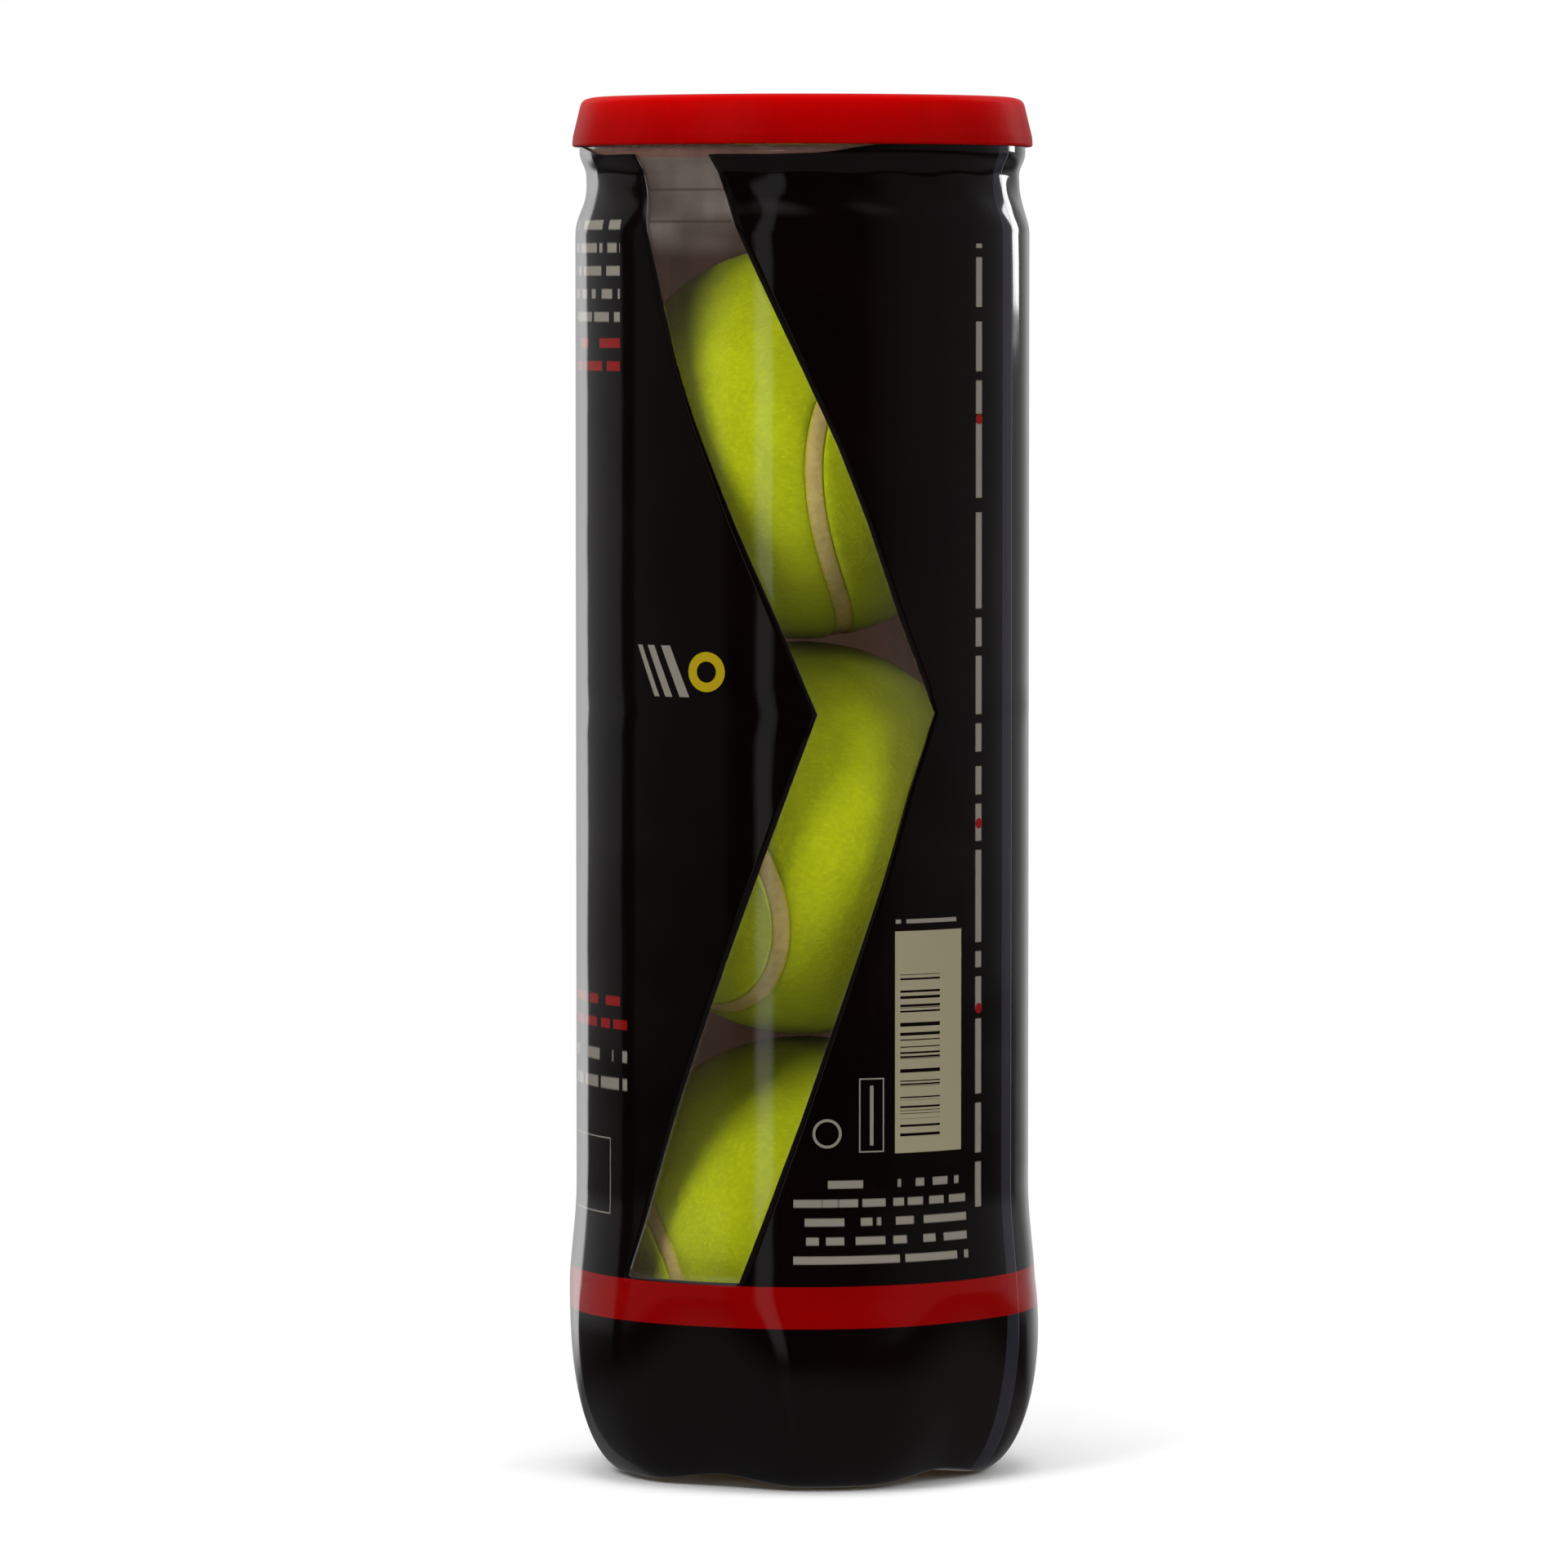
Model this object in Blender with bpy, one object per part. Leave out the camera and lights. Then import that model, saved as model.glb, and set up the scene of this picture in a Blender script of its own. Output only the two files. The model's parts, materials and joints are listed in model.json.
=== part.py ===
"""Pressurised can of three felt-covered balls, with ring-pull end, overcap and shrink film."""
import bpy
import bmesh
from math import cos, pi, radians, sin, sqrt, tan
from mathutils import Matrix, Vector

MM = 0.001
GAP = 0.3 * MM
SEGMENTS = 40

BODY_R = 37.0 * MM
WALL_FOOT_Z = 47 * MM
SHOULDER_Z = 201.5 * MM
NECK_R = 35.2 * MM
NECK_LOW_Z = 209.5 * MM
NECK_HIGH_Z = 211 * MM
FILM_TOP_R = 36.3 * MM
FILM_TOP_Z = 214.8 * MM
FILM_LOW_Z = 0.6 * MM
FILM_WALL = 0.25 * MM
SHOULDER_STEPS = (0, 0.3, 0.7, 1)

BULGE_R = 38.2 * MM
BULGE_Z = 28 * MM
PAD_INNER_R = 21.5 * MM
PAD_OUTER_R = 28 * MM
FEET = 5
FOOT_TURN = 10
FOOT_FLAT = 9
LOBE = 1.45 * MM
LOBE_TOP_Z = 31 * MM
DIMPLE_Z = 5.2 * MM
BOWL_R = 36 * MM
BOWL_REACH = 66
PET_WALL = 0.5 * MM
NECK_RING_LOW_Z = 215.0 * MM
NECK_RING_TOP_Z = 216.2 * MM

SEAM_R = 35.4 * MM
SEAM_LOW_Z = 218.8 * MM
SEAM_TOP_Z = 222.2 * MM
SEAM_METAL = 0.45 * MM
CHUCK_R = 33.55 * MM
MOUTH_R = 33.1 * MM
PANEL_TOP_Z = 216.8 * MM
PANEL_METAL = 0.4 * MM
BEAD_R = 29.5 * MM
BEAD_DEPTH = 0.6 * MM

RIVET_Y = 17.5 * MM
RIVET_R = 1.6 * MM
RIVET_HEAD_R = 2.9 * MM
RIVET_HEAD = 0.5 * MM
TAB_NOSE_Y = 30.2 * MM
TAB_TAIL_Y = -3.5 * MM
TAB_WIDTH = 21 * MM
TAB_NOSE_WIDTH = 16 * MM
TAB_METAL = 1.3 * MM
TAB_RIM = 2.5 * MM
TONGUE_WIDTH = 7 * MM
TONGUE_LENGTH = 8 * MM
TONGUE_METAL = 0.5 * MM

CAP_TOP_Z = 223.8 * MM
CAP_LOW_Z = 215.8 * MM
CAP_TOP_R = 36.2 * MM
CAP_LOW_R = 37.5 * MM
CAP_WALL = 0.8 * MM
CAP_PLATE = 1.0 * MM
CAP_RECESS = 0.6 * MM
CAP_RECESS_R = 33.2 * MM
CAP_BEAD_Z = 217.8 * MM
CAP_PLUG = 2.0 * MM

BALL_R = 32.2 * MM
BALL_LOW_Z = 38.4 * MM
FELT_INNER_R = 29.6 * MM
CORE_R = 28.7 * MM
CORE_WALL = 3.2 * MM
SEAM_WIDTH = 3.6 * MM
SEAM_OUTER_R = 31.4 * MM
SEAM_SWING = 0.18
BALL_NAMES = ("bottom", "middle", "top")
BALL_TURNS = {"bottom": (5.3, -3, 20), "middle": (15.1, -145.3, 74.4), "top": (39, -29.5, -15.6)}

WINDOW_TIP = (34.8, 125 * MM)
WINDOW_CORNER = (3.6, 125 * MM)
WINDOW_LOW = ((-47.8, 34 * MM), (-15.6, 34 * MM))
WINDOW_LEFT_BOW = ((-36.1, 188 * MM), (-28.0, 172 * MM))
WINDOW_RIGHT_BOW = (8.5, 168 * MM)
WINDOW_SHOULDER = ((-42.0, SHOULDER_Z), (-16.0, SHOULDER_Z))
WINDOW_TOP = ((-48.2, FILM_TOP_Z + MM), (-25.2, FILM_TOP_Z + MM))


def material(name, color, roughness, metallic=0.0, alpha=1.0):
    mat = bpy.data.materials.new(name)
    mat.use_nodes = True
    shader = mat.node_tree.nodes["Principled BSDF"]
    shader.inputs["Base Color"].default_value = (*color, 1)
    shader.inputs["Roughness"].default_value = roughness
    shader.inputs["Metallic"].default_value = metallic
    shader.inputs["Alpha"].default_value = alpha
    return mat


def add_object(name, bm, mat, smooth=True):
    bmesh.ops.recalc_face_normals(bm, faces=bm.faces[:])
    mesh = bpy.data.meshes.new(name)
    bm.to_mesh(mesh)
    bm.free()
    mesh.polygons.foreach_set("use_smooth", [smooth] * len(mesh.polygons))
    obj = bpy.data.objects.new(name, mesh)
    bpy.context.collection.objects.link(obj)
    if mat:
        obj.data.materials.append(mat)
    return obj


def revolve(profile, closed, steps=SEGMENTS):
    """Solid of revolution; a profile that is not closed starts and ends on the axis."""
    bm = bmesh.new()
    verts = [bm.verts.new((r, 0, z)) for r, z in profile]
    edges = [bm.edges.new(pair) for pair in zip(verts, verts[1:])]
    if closed:
        edges.append(bm.edges.new((verts[-1], verts[0])))
    bmesh.ops.spin(bm, geom=verts + edges, axis=(0, 0, 1), cent=(0, 0, 0), steps=steps, angle=2 * pi)
    bmesh.ops.remove_doubles(bm, verts=bm.verts[:], dist=0.01 * MM)
    return bm


def prism(outline, low, high, upright=True):
    """Outline pulled from low to high: along Z when upright, otherwise along Y."""
    bm = bmesh.new()
    if upright:
        verts = [bm.verts.new((u, v, low)) for u, v in outline]
        pull = (0, 0, high - low)
    else:
        verts = [bm.verts.new((u, low, v)) for u, v in outline]
        pull = (0, high - low, 0)
    face = bm.faces.new(verts)
    side = bmesh.ops.extrude_face_region(bm, geom=[face])
    moved = [item for item in side["geom"] if isinstance(item, bmesh.types.BMVert)]
    bmesh.ops.translate(bm, verts=moved, vec=pull)
    return bm


def cutter(name, bm):
    obj = add_object(name, bm, None, smooth=False)
    obj.hide_render = True
    obj.display_type = "WIRE"
    return obj


def boolean(obj, other, operation):
    mod = obj.modifiers.new(other.name, "BOOLEAN")
    mod.operation = operation
    mod.object = other


def solidify(obj, thickness):
    mod = obj.modifiers.new("wall", "SOLIDIFY")
    mod.thickness = thickness
    mod.offset = -1
    mod.use_even_offset = True


def bevel(obj, width, segments):
    mod = obj.modifiers.new("edge", "BEVEL")
    mod.width = width
    mod.segments = segments
    mod.limit_method = "ANGLE"
    mod.angle_limit = radians(50)


def ease(low, high, share):
    """Half-wave blend from low to high."""
    return low + (high - low) * (0.5 - 0.5 * cos(pi * share))


def outside_radius(z):
    """Outer radius of the film on a foot-free section: base ellipse, flare, wall, shoulder and neck."""
    if z < BULGE_Z:
        return PAD_OUTER_R + (BULGE_R - PAD_OUTER_R) * sqrt(1 - (1 - z / BULGE_Z) ** 2)
    if z < WALL_FOOT_Z:
        return ease(BULGE_R, BODY_R, (z - BULGE_Z) / (WALL_FOOT_Z - BULGE_Z))
    if z < SHOULDER_Z:
        return BODY_R
    if z < NECK_LOW_Z:
        return ease(BODY_R, NECK_R, (z - SHOULDER_Z) / (NECK_LOW_Z - SHOULDER_Z))
    if z < NECK_HIGH_Z:
        return NECK_R
    return ease(NECK_R, FILM_TOP_R, (z - NECK_HIGH_Z) / (FILM_TOP_Z - NECK_HIGH_Z))


def foot_share(angle):
    """1 on a foot, 0 midway between two feet, with a smooth step between."""
    pitch = 360 / FEET
    away = abs((angle - FOOT_TURN + pitch / 2) % pitch - pitch / 2)
    step = min(1, max(0, (pitch / 2 - away) / (pitch / 2 - FOOT_FLAT)))
    return step * step * (3 - 2 * step)


def lobe_height(z):
    """How far a foot stands out, and a hollow falls back, at a height."""
    return LOBE * max(0, 1 - (z / LOBE_TOP_Z) ** 2)


def column_angles():
    """Directions in degrees from the front (-Y) towards +X, with a column on every foot."""
    return [FOOT_TURN % (360 / SEGMENTS) + 360 * i / SEGMENTS for i in range(SEGMENTS)]


def around(radius, angle, z):
    return (radius * sin(radians(angle)), -radius * cos(radians(angle)), z)


def skin(rows, pole=None):
    """Open skin from rings of points, low to high, closed below by a pole point."""
    bm = bmesh.new()
    rings = [[bm.verts.new(point) for point in row] for row in rows]
    for lower, upper in zip(rings, rings[1:]):
        for i in range(SEGMENTS):
            j = (i + 1) % SEGMENTS
            bm.faces.new((lower[i], lower[j], upper[j], upper[i]))
    if pole:
        tip = bm.verts.new(pole)
        for i in range(SEGMENTS):
            bm.faces.new((tip, rings[0][(i + 1) % SEGMENTS], rings[0][i]))
    return bm


def film_skin():
    """Film round the feet, bridging the hollows between them, up to the flared edge at the neck."""
    heights = [FILM_LOW_Z] + [BULGE_Z * (1 - cos(radians(turn))) for turn in (30, 44, 58, 70, 80, 90)]
    heights += [BULGE_Z + (WALL_FOOT_Z - BULGE_Z) * s for s in (0.35, 0.65, 1)]
    heights += [SHOULDER_Z + (NECK_LOW_Z - SHOULDER_Z) * s for s in SHOULDER_STEPS]
    heights += [NECK_HIGH_Z + (FILM_TOP_Z - NECK_HIGH_Z) * s for s in (0, 0.5, 1)]
    rows = []
    for z in heights:
        radii = [outside_radius(z) + lobe_height(z) * (2 * foot_share(a) - 1) for a in column_angles()]
        rows.append([around(radius, a, z) for radius, a in zip(radii, column_angles())])
    return skin(rows)


def window_edge(start, end, steps):
    """Points in the front view along a window edge that is straight on the unrolled film."""
    points = []
    for i in range(steps):
        angle = start[0] + (end[0] - start[0]) * i / steps
        points.append((BODY_R * sin(radians(angle)), start[1] + (end[1] - start[1]) * i / steps))
    return points


def window_outline():
    corners = [
        WINDOW_TOP[0], WINDOW_SHOULDER[0], *WINDOW_LEFT_BOW, WINDOW_CORNER, WINDOW_LOW[0],
        WINDOW_LOW[1], WINDOW_TIP, WINDOW_RIGHT_BOW, WINDOW_SHOULDER[1], WINDOW_TOP[1],
    ]
    steps = (1, 1, 1, 3, 4, 2, 4, 2, 2, 1, 1)
    outline = []
    for i, count in enumerate(steps):
        outline += window_edge(corners[i], corners[(i + 1) % len(corners)], count)
    return outline


def inset_outline(outline, inset):
    """Closed outline moved inwards by an even margin."""
    moved = []
    for i, point in enumerate(outline):
        before = Vector(point) - Vector(outline[i - 1])
        after = Vector(outline[(i + 1) % len(outline)]) - Vector(point)
        normal_a = Vector((-before.y, before.x)).normalized()
        normal_b = Vector((-after.y, after.x)).normalized()
        mitre = (normal_a + normal_b).normalized()
        moved.append(Vector(point) + mitre * (inset / mitre.dot(normal_a)))
    return [tuple(point) for point in moved]


def make_sleeve():
    """One shrink film in two finishes: the black print and the clear chevron left open in it."""
    black = material("film_black", (0.006, 0.005, 0.005), 0.12)
    clear = material("film_clear", (0.8, 0.8, 0.78), 0.08, alpha=0.25)
    front = (-BODY_R - 5 * MM, -15 * MM)
    opening = cutter("window_cut", prism(window_outline(), *front, upright=False))
    pane = cutter("window_pane", prism(inset_outline(window_outline(), GAP), *front, upright=False))
    for name, mat, tool, operation in (
        ("sleeve_print", black, opening, "DIFFERENCE"),
        ("sleeve_window", clear, pane, "INTERSECT"),
    ):
        film = add_object(name, film_skin(), mat)
        solidify(film, FILM_WALL)
        boolean(film, tool, operation)


def foot_line(inset):
    """Base section through a foot: dimple, ramp, flat pad, then the outer ellipse up to the flare."""
    line = [(7 * MM, DIMPLE_Z - 0.3 * MM), (14 * MM, DIMPLE_Z - 1.3 * MM)]
    line += [(PAD_INNER_R, 0), (0.5 * (PAD_INNER_R + PAD_OUTER_R), 0), (PAD_OUTER_R, 0)]
    for turn in (16, 32, 48, 64, 80):
        z = BULGE_Z * (1 - cos(radians(turn)))
        line.append((outside_radius(z) + lobe_height(z) - inset, z))
    return line


def hollow_line(count):
    """Base section between two feet: a bowl that rises from the dimple to the flare."""
    turns = [radians(BOWL_REACH * i / count) for i in range(1, count + 1)]
    return [(BOWL_R * sin(turn), DIMPLE_Z + BOWL_R * (1 - cos(turn))) for turn in turns]


def make_body():
    """Blown body: five feet with flat pads, straight wall, shoulder, neck and neck ring."""
    inset = FILM_WALL + GAP
    flare_z = BULGE_Z + 7 * MM
    foot = foot_line(inset)
    hollow = hollow_line(len(foot))
    rows = []
    for (foot_r, foot_z), (hollow_r, hollow_z) in zip(foot, hollow):
        row = []
        for angle in column_angles():
            share = foot_share(angle)
            radius = hollow_r + (foot_r - hollow_r) * share
            row.append(around(radius, angle, hollow_z + (foot_z - hollow_z) * share))
        rows.append(row)
    heights = [flare_z, 0.5 * (flare_z + WALL_FOOT_Z), WALL_FOOT_Z]
    heights += [SHOULDER_Z + (NECK_LOW_Z - SHOULDER_Z) * s for s in SHOULDER_STEPS]
    heights += [NECK_HIGH_Z + (FILM_TOP_Z - NECK_HIGH_Z) * s for s in (0, 0.5)]
    line = [(outside_radius(z) - inset, z) for z in heights]
    ring_r = FILM_TOP_R - inset
    spigot_r = SEAM_R - SEAM_METAL - 0.25 * MM
    line += [(ring_r, NECK_RING_LOW_Z), (ring_r, NECK_RING_TOP_Z)]
    line += [(spigot_r, NECK_RING_TOP_Z + 1.2 * MM), (spigot_r, SEAM_TOP_Z - 1.6 * MM)]
    rows += [[around(radius, a, z) for a in column_angles()] for radius, z in line]
    clear = material("clear_pet", (0.85, 0.87, 0.86), 0.08, alpha=0.3)
    body = add_object("can_body", skin(rows, pole=(0, 0, DIMPLE_Z)), clear)
    solidify(body, PET_WALL)


def make_end_ring():
    """Seamed ring that stays on the can: hook over the neck, chuck wall and the lip left by the score."""
    soft = 0.35 * MM
    inner = SEAM_R - SEAM_METAL
    chuck = CHUCK_R + 0.4 * MM
    profile = [
        (SEAM_R, SEAM_LOW_Z), (SEAM_R, SEAM_TOP_Z - soft), (SEAM_R - soft, SEAM_TOP_Z),
        (CHUCK_R + soft, SEAM_TOP_Z), (CHUCK_R, SEAM_TOP_Z - soft),
        (CHUCK_R, PANEL_TOP_Z), (MOUTH_R, PANEL_TOP_Z), (MOUTH_R, PANEL_TOP_Z - PANEL_METAL),
        (chuck, PANEL_TOP_Z - PANEL_METAL), (chuck, SEAM_TOP_Z - SEAM_METAL),
        (inner, SEAM_TOP_Z - SEAM_METAL), (inner, SEAM_LOW_Z),
    ]
    add_object("end_ring", revolve(profile, True), material("end_metal", (0.72, 0.73, 0.74), 0.28, 1.0))


def make_seam_compound():
    """Gasket ring between the top of the neck and the hook of the end."""
    outer = SEAM_R - SEAM_METAL - 0.25 * MM
    low = SEAM_TOP_Z - 1.3 * MM
    high = SEAM_TOP_Z - SEAM_METAL - 0.25 * MM
    profile = [(outer, low), (outer, high), (outer - 0.5 * MM, high), (outer - 0.5 * MM, low)]
    add_object("seam_compound", revolve(profile, True), material("compound", (0.45, 0.43, 0.4), 0.7))


def make_tear_panel():
    """Scored panel with a sunk ring bead and the rivet drawn up out of it."""
    top = PANEL_TOP_Z
    low = top - PANEL_METAL
    edge = MOUTH_R - GAP
    bead_in = BEAD_R - 1.6 * MM
    bead_out = BEAD_R + 1.6 * MM
    floor_in = BEAD_R - 0.7 * MM
    floor_out = BEAD_R + 0.7 * MM
    profile = [
        (0, top), (bead_in, top), (floor_in, top - BEAD_DEPTH), (floor_out, top - BEAD_DEPTH),
        (bead_out, top), (edge, top), (edge, low), (bead_out, low),
        (floor_out, low - BEAD_DEPTH), (floor_in, low - BEAD_DEPTH), (bead_in, low), (0, low),
    ]
    metal = material("panel_metal", (0.76, 0.77, 0.78), 0.25, 1.0)
    panel = add_object("tear_panel", revolve(profile, False), metal)
    under_head = top + GAP + TONGUE_METAL + GAP
    shape = [
        (0, under_head + RIVET_HEAD), (0.7 * RIVET_HEAD_R, under_head + RIVET_HEAD),
        (RIVET_HEAD_R, under_head + 0.4 * RIVET_HEAD), (RIVET_HEAD_R, under_head), (RIVET_R, under_head),
        (RIVET_R, low + 0.1 * MM), (0, low + 0.1 * MM),
    ]
    rivet_bm = revolve(shape, False, steps=16)
    bmesh.ops.translate(rivet_bm, verts=rivet_bm.verts[:], vec=(0, RIVET_Y, 0))
    boolean(panel, cutter("rivet", rivet_bm), "UNION")


def rounded(points, radius, steps):
    """Outline with every corner replaced by an arc."""
    outline = []
    for i, point in enumerate(points):
        corner = Vector(point)
        back = (Vector(points[i - 1]) - corner).normalized()
        ahead = (Vector(points[(i + 1) % len(points)]) - corner).normalized()
        half = 0.5 * back.angle(ahead)
        centre = corner + (back + ahead).normalized() * (radius / sin(half))
        start = corner + back * (radius / tan(half)) - centre
        turn = pi - 2 * half
        spin = 1 if back.x * ahead.y - back.y * ahead.x < 0 else -1
        for k in range(steps + 1):
            arm = Matrix.Rotation(spin * turn * k / steps, 2) @ start
            outline.append(tuple(centre + arm))
    return outline


def rounded_box(half, low, high, radius, steps):
    """Rounded rectangle, symmetric about the tab's centre line."""
    return rounded([(-half, low), (half, low), (half, high), (-half, high)], radius, steps)


def tab_outline():
    """Plan of the lever: blunt nose at the score, wide round tail."""
    half = 0.5 * TAB_WIDTH
    nose = 0.5 * TAB_NOSE_WIDTH
    waist = RIVET_Y - 4 * MM
    right = [(half, TAB_TAIL_Y), (half, waist), (nose, TAB_NOSE_Y)]
    left = [(-x, y) for x, y in reversed(right)]
    return rounded(left + right, 6.5 * MM, 5)


def make_tab():
    """Ring-pull lever with a finger hole and a tongue slot; its origin is on the nose edge."""
    low = PANEL_TOP_Z + GAP
    metal = material("tab_metal", (0.7, 0.71, 0.72), 0.3, 1.0)
    tab = add_object("pull_tab", prism(tab_outline(), low, low + TAB_METAL), metal, smooth=False)
    bevel(tab, 0.4 * MM, 2)
    room = GAP + 0.1 * MM
    slot_half = 0.5 * TONGUE_WIDTH + room
    slot_low = RIVET_Y - 0.5 * TONGUE_LENGTH - room
    slot_high = RIVET_Y + 0.5 * TONGUE_LENGTH + room
    hole_half = 0.5 * TAB_WIDTH - TAB_RIM
    cuts = {
        "tongue_slot": rounded_box(slot_half, slot_low, slot_high, 1.5 * MM, 2),
        "finger_hole": rounded_box(hole_half, TAB_TAIL_Y + TAB_RIM, slot_low - TAB_RIM, 4.5 * MM, 4),
    }
    for name, outline in cuts.items():
        boolean(tab, cutter(name, prism(outline, low - MM, low + TAB_METAL + MM)), "DIFFERENCE")
    axis = Matrix.Translation((0, TAB_NOSE_Y, low))
    tab.data.transform(axis.inverted())
    tab.matrix_world = axis


def make_tongue():
    """Island of the tab that stays under the rivet head, with an eye for the rivet shank."""
    low = PANEL_TOP_Z + GAP
    reach = 0.5 * TONGUE_LENGTH
    plan = rounded_box(0.5 * TONGUE_WIDTH, RIVET_Y - reach, RIVET_Y + reach, 1.2 * MM, 2)
    metal = material("tongue_metal", (0.68, 0.69, 0.7), 0.32, 1.0)
    tongue = add_object("tab_tongue", prism(plan, low, low + TONGUE_METAL), metal, smooth=False)
    eye_r = RIVET_R + GAP
    turns = [2 * pi * i / 16 for i in range(16)]
    eye = [(eye_r * cos(turn), RIVET_Y + eye_r * sin(turn)) for turn in turns]
    boolean(tongue, cutter("rivet_eye", prism(eye, low - MM, low + MM)), "DIFFERENCE")


def make_overcap():
    """Push-on cap: flared skirt, stacking rim round a sunk plate, grip bead and plug ring inside."""
    soft = 1.4 * MM
    skirt_in = CAP_LOW_R - CAP_WALL
    crown_in = SEAM_R + 0.45 * MM
    bead_in = SEAM_R + 0.25 * MM
    plug_out = CHUCK_R - 0.35 * MM
    plug_in = plug_out - 0.8 * MM
    roof = CAP_TOP_Z - CAP_RECESS - CAP_PLATE
    crown = SEAM_TOP_Z + GAP
    sunk = CAP_TOP_Z - CAP_RECESS
    top = [(0, sunk), (CAP_RECESS_R - 0.6 * MM, sunk), (CAP_RECESS_R, CAP_TOP_Z)]
    shoulder = [
        (CAP_TOP_R - 1.4 * soft, CAP_TOP_Z), (CAP_TOP_R - 0.5 * soft, CAP_TOP_Z - 0.25 * soft),
        (CAP_TOP_R - 0.15 * soft, CAP_TOP_Z - 0.6 * soft), (CAP_TOP_R, CAP_TOP_Z - soft),
    ]
    skirt = [
        (CAP_LOW_R - 0.1 * MM, CAP_LOW_Z + 1.6 * MM), (CAP_LOW_R, CAP_LOW_Z + 0.3 * MM),
        (CAP_LOW_R - 0.2 * MM, CAP_LOW_Z), (skirt_in, CAP_LOW_Z),
    ]
    bead = [
        (skirt_in, CAP_BEAD_Z - 0.9 * MM), (bead_in, CAP_BEAD_Z),
        (skirt_in - 0.5 * MM, CAP_BEAD_Z + 0.9 * MM),
    ]
    crown_line = [(crown_in, crown - 0.3 * MM), (crown_in - 0.3 * MM, crown), (plug_out, crown)]
    plug = [(plug_out, crown - CAP_PLUG), (plug_in, crown - CAP_PLUG), (plug_in, roof), (0, roof)]
    profile = top + shoulder + skirt + bead + crown_line + plug
    add_object("overcap", revolve(profile, False), material("cap_red", (0.36, 0.002, 0.002), 0.35))


def seam_point(turn):
    """Unit direction on the closed seam curve that divides the ball in two equal panels."""
    long_wave, short_wave = 1 - SEAM_SWING, SEAM_SWING
    return Vector((
        long_wave * cos(turn) + short_wave * cos(3 * turn),
        long_wave * sin(turn) - short_wave * sin(3 * turn),
        2 * sqrt(long_wave * short_wave) * sin(2 * turn),
    ))


def seam_side(turn, offset):
    """Unit direction beside the seam, at a signed angle across it."""
    here = seam_point(turn)
    along = (seam_point(turn + 0.001) - seam_point(turn - 0.001)).normalized()
    across = here.cross(along).normalized()
    return (here * cos(offset) + across * sin(offset)).normalized()


def felt_rows(edge):
    """Ribs of unit directions across one felt panel, tip to tip, between both edges of the seam."""
    ribs, across = 18, 6
    rows = []
    for i in range(ribs + 1):
        turn = -pi / 4 + pi * i / ribs
        side = seam_side(turn, edge)
        mirror = Vector((-side.y, -side.x, side.z))
        spread = side.angle(mirror, 0.0)
        if spread < 0.001:
            rows.append([side])
            continue
        row = []
        for k in range(across + 1):
            share = k / across
            blend = side * sin((1 - share) * spread) + mirror * sin(share * spread)
            row.append((blend / sin(spread)).normalized())
        rows.append(row)
    return rows


def felt_panel(edge):
    """Curved dog-bone panel with even thickness."""
    bm = bmesh.new()
    rows = felt_rows(edge)
    inner = [[bm.verts.new(d * FELT_INNER_R) for d in row] for row in rows]
    outer = [[bm.verts.new(d * BALL_R) for d in row] for row in rows]
    for layer in (inner, outer):
        for first, second in zip(layer, layer[1:]):
            if len(first) == 1 or len(second) == 1:
                tip, rib = (first[0], second) if len(first) == 1 else (second[0], first)
                for a, b in zip(rib, rib[1:]):
                    bm.faces.new((tip, a, b))
                continue
            for k in range(len(first) - 1):
                bm.faces.new((first[k], first[k + 1], second[k + 1], second[k]))
    for side in (0, -1):
        for i in range(len(rows) - 1):
            bm.faces.new((inner[i][side], inner[i + 1][side], outer[i + 1][side], outer[i][side]))
    return bm


def seam_band():
    """Closed rubber band that fills the groove between the felt panels."""
    bm = bmesh.new()
    steps = 60
    half = 0.5 * SEAM_WIDTH / BALL_R
    section = ((FELT_INNER_R, -half), (FELT_INNER_R, half), (SEAM_OUTER_R, half), (SEAM_OUTER_R, -half))
    rings = []
    for i in range(steps):
        turn = 2 * pi * i / steps
        rings.append([bm.verts.new(seam_side(turn, offset) * radius) for radius, offset in section])
    for i, ring in enumerate(rings):
        following = rings[(i + 1) % steps]
        for k in range(4):
            n = (k + 1) % 4
            bm.faces.new((ring[k], ring[n], following[n], following[k]))
    return bm


def core_half(sign):
    """Half shell of the core, with the bonding face on the equator."""
    rows, columns = 5, 20
    bm = bmesh.new()
    gap = 0.5 * GAP * sign
    layers = []
    for radius in (CORE_R, CORE_R - CORE_WALL):
        rings = []
        for i in range(rows):
            lift = 0.5 * pi * i / rows
            ring = []
            for k in range(columns):
                turn = 2 * pi * k / columns
                flat = radius * cos(lift)
                height = sign * radius * sin(lift) + gap
                ring.append(bm.verts.new((flat * cos(turn), flat * sin(turn), height)))
            rings.append(ring)
        pole = bm.verts.new((0, 0, sign * radius + gap))
        for lower, upper in zip(rings, rings[1:]):
            for k in range(columns):
                n = (k + 1) % columns
                bm.faces.new((lower[k], lower[n], upper[n], upper[k]))
        for k in range(columns):
            bm.faces.new((rings[-1][k], rings[-1][(k + 1) % columns], pole))
        layers.append(rings[0])
    for k in range(columns):
        n = (k + 1) % columns
        bm.faces.new((layers[0][k], layers[0][n], layers[1][n], layers[1][k]))
    return bm


def ball_frame(name):
    """Ball axes: the waist of felt panel A faces front, turned by the ball's own tilt, bearing and roll."""
    tilt, bearing, roll = (radians(value) for value in BALL_TURNS[name])
    level = BALL_NAMES.index(name)
    base = Matrix.Rotation(pi / 2, 4, "X") @ Matrix.Rotation(roll - pi / 4, 4, "Z")
    turned = Matrix.Rotation(bearing, 4, "Z") @ Matrix.Rotation(-tilt, 4, "X") @ base
    return Matrix.Translation((0, 0, BALL_LOW_Z + level * (2 * BALL_R + GAP))) @ turned


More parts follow.
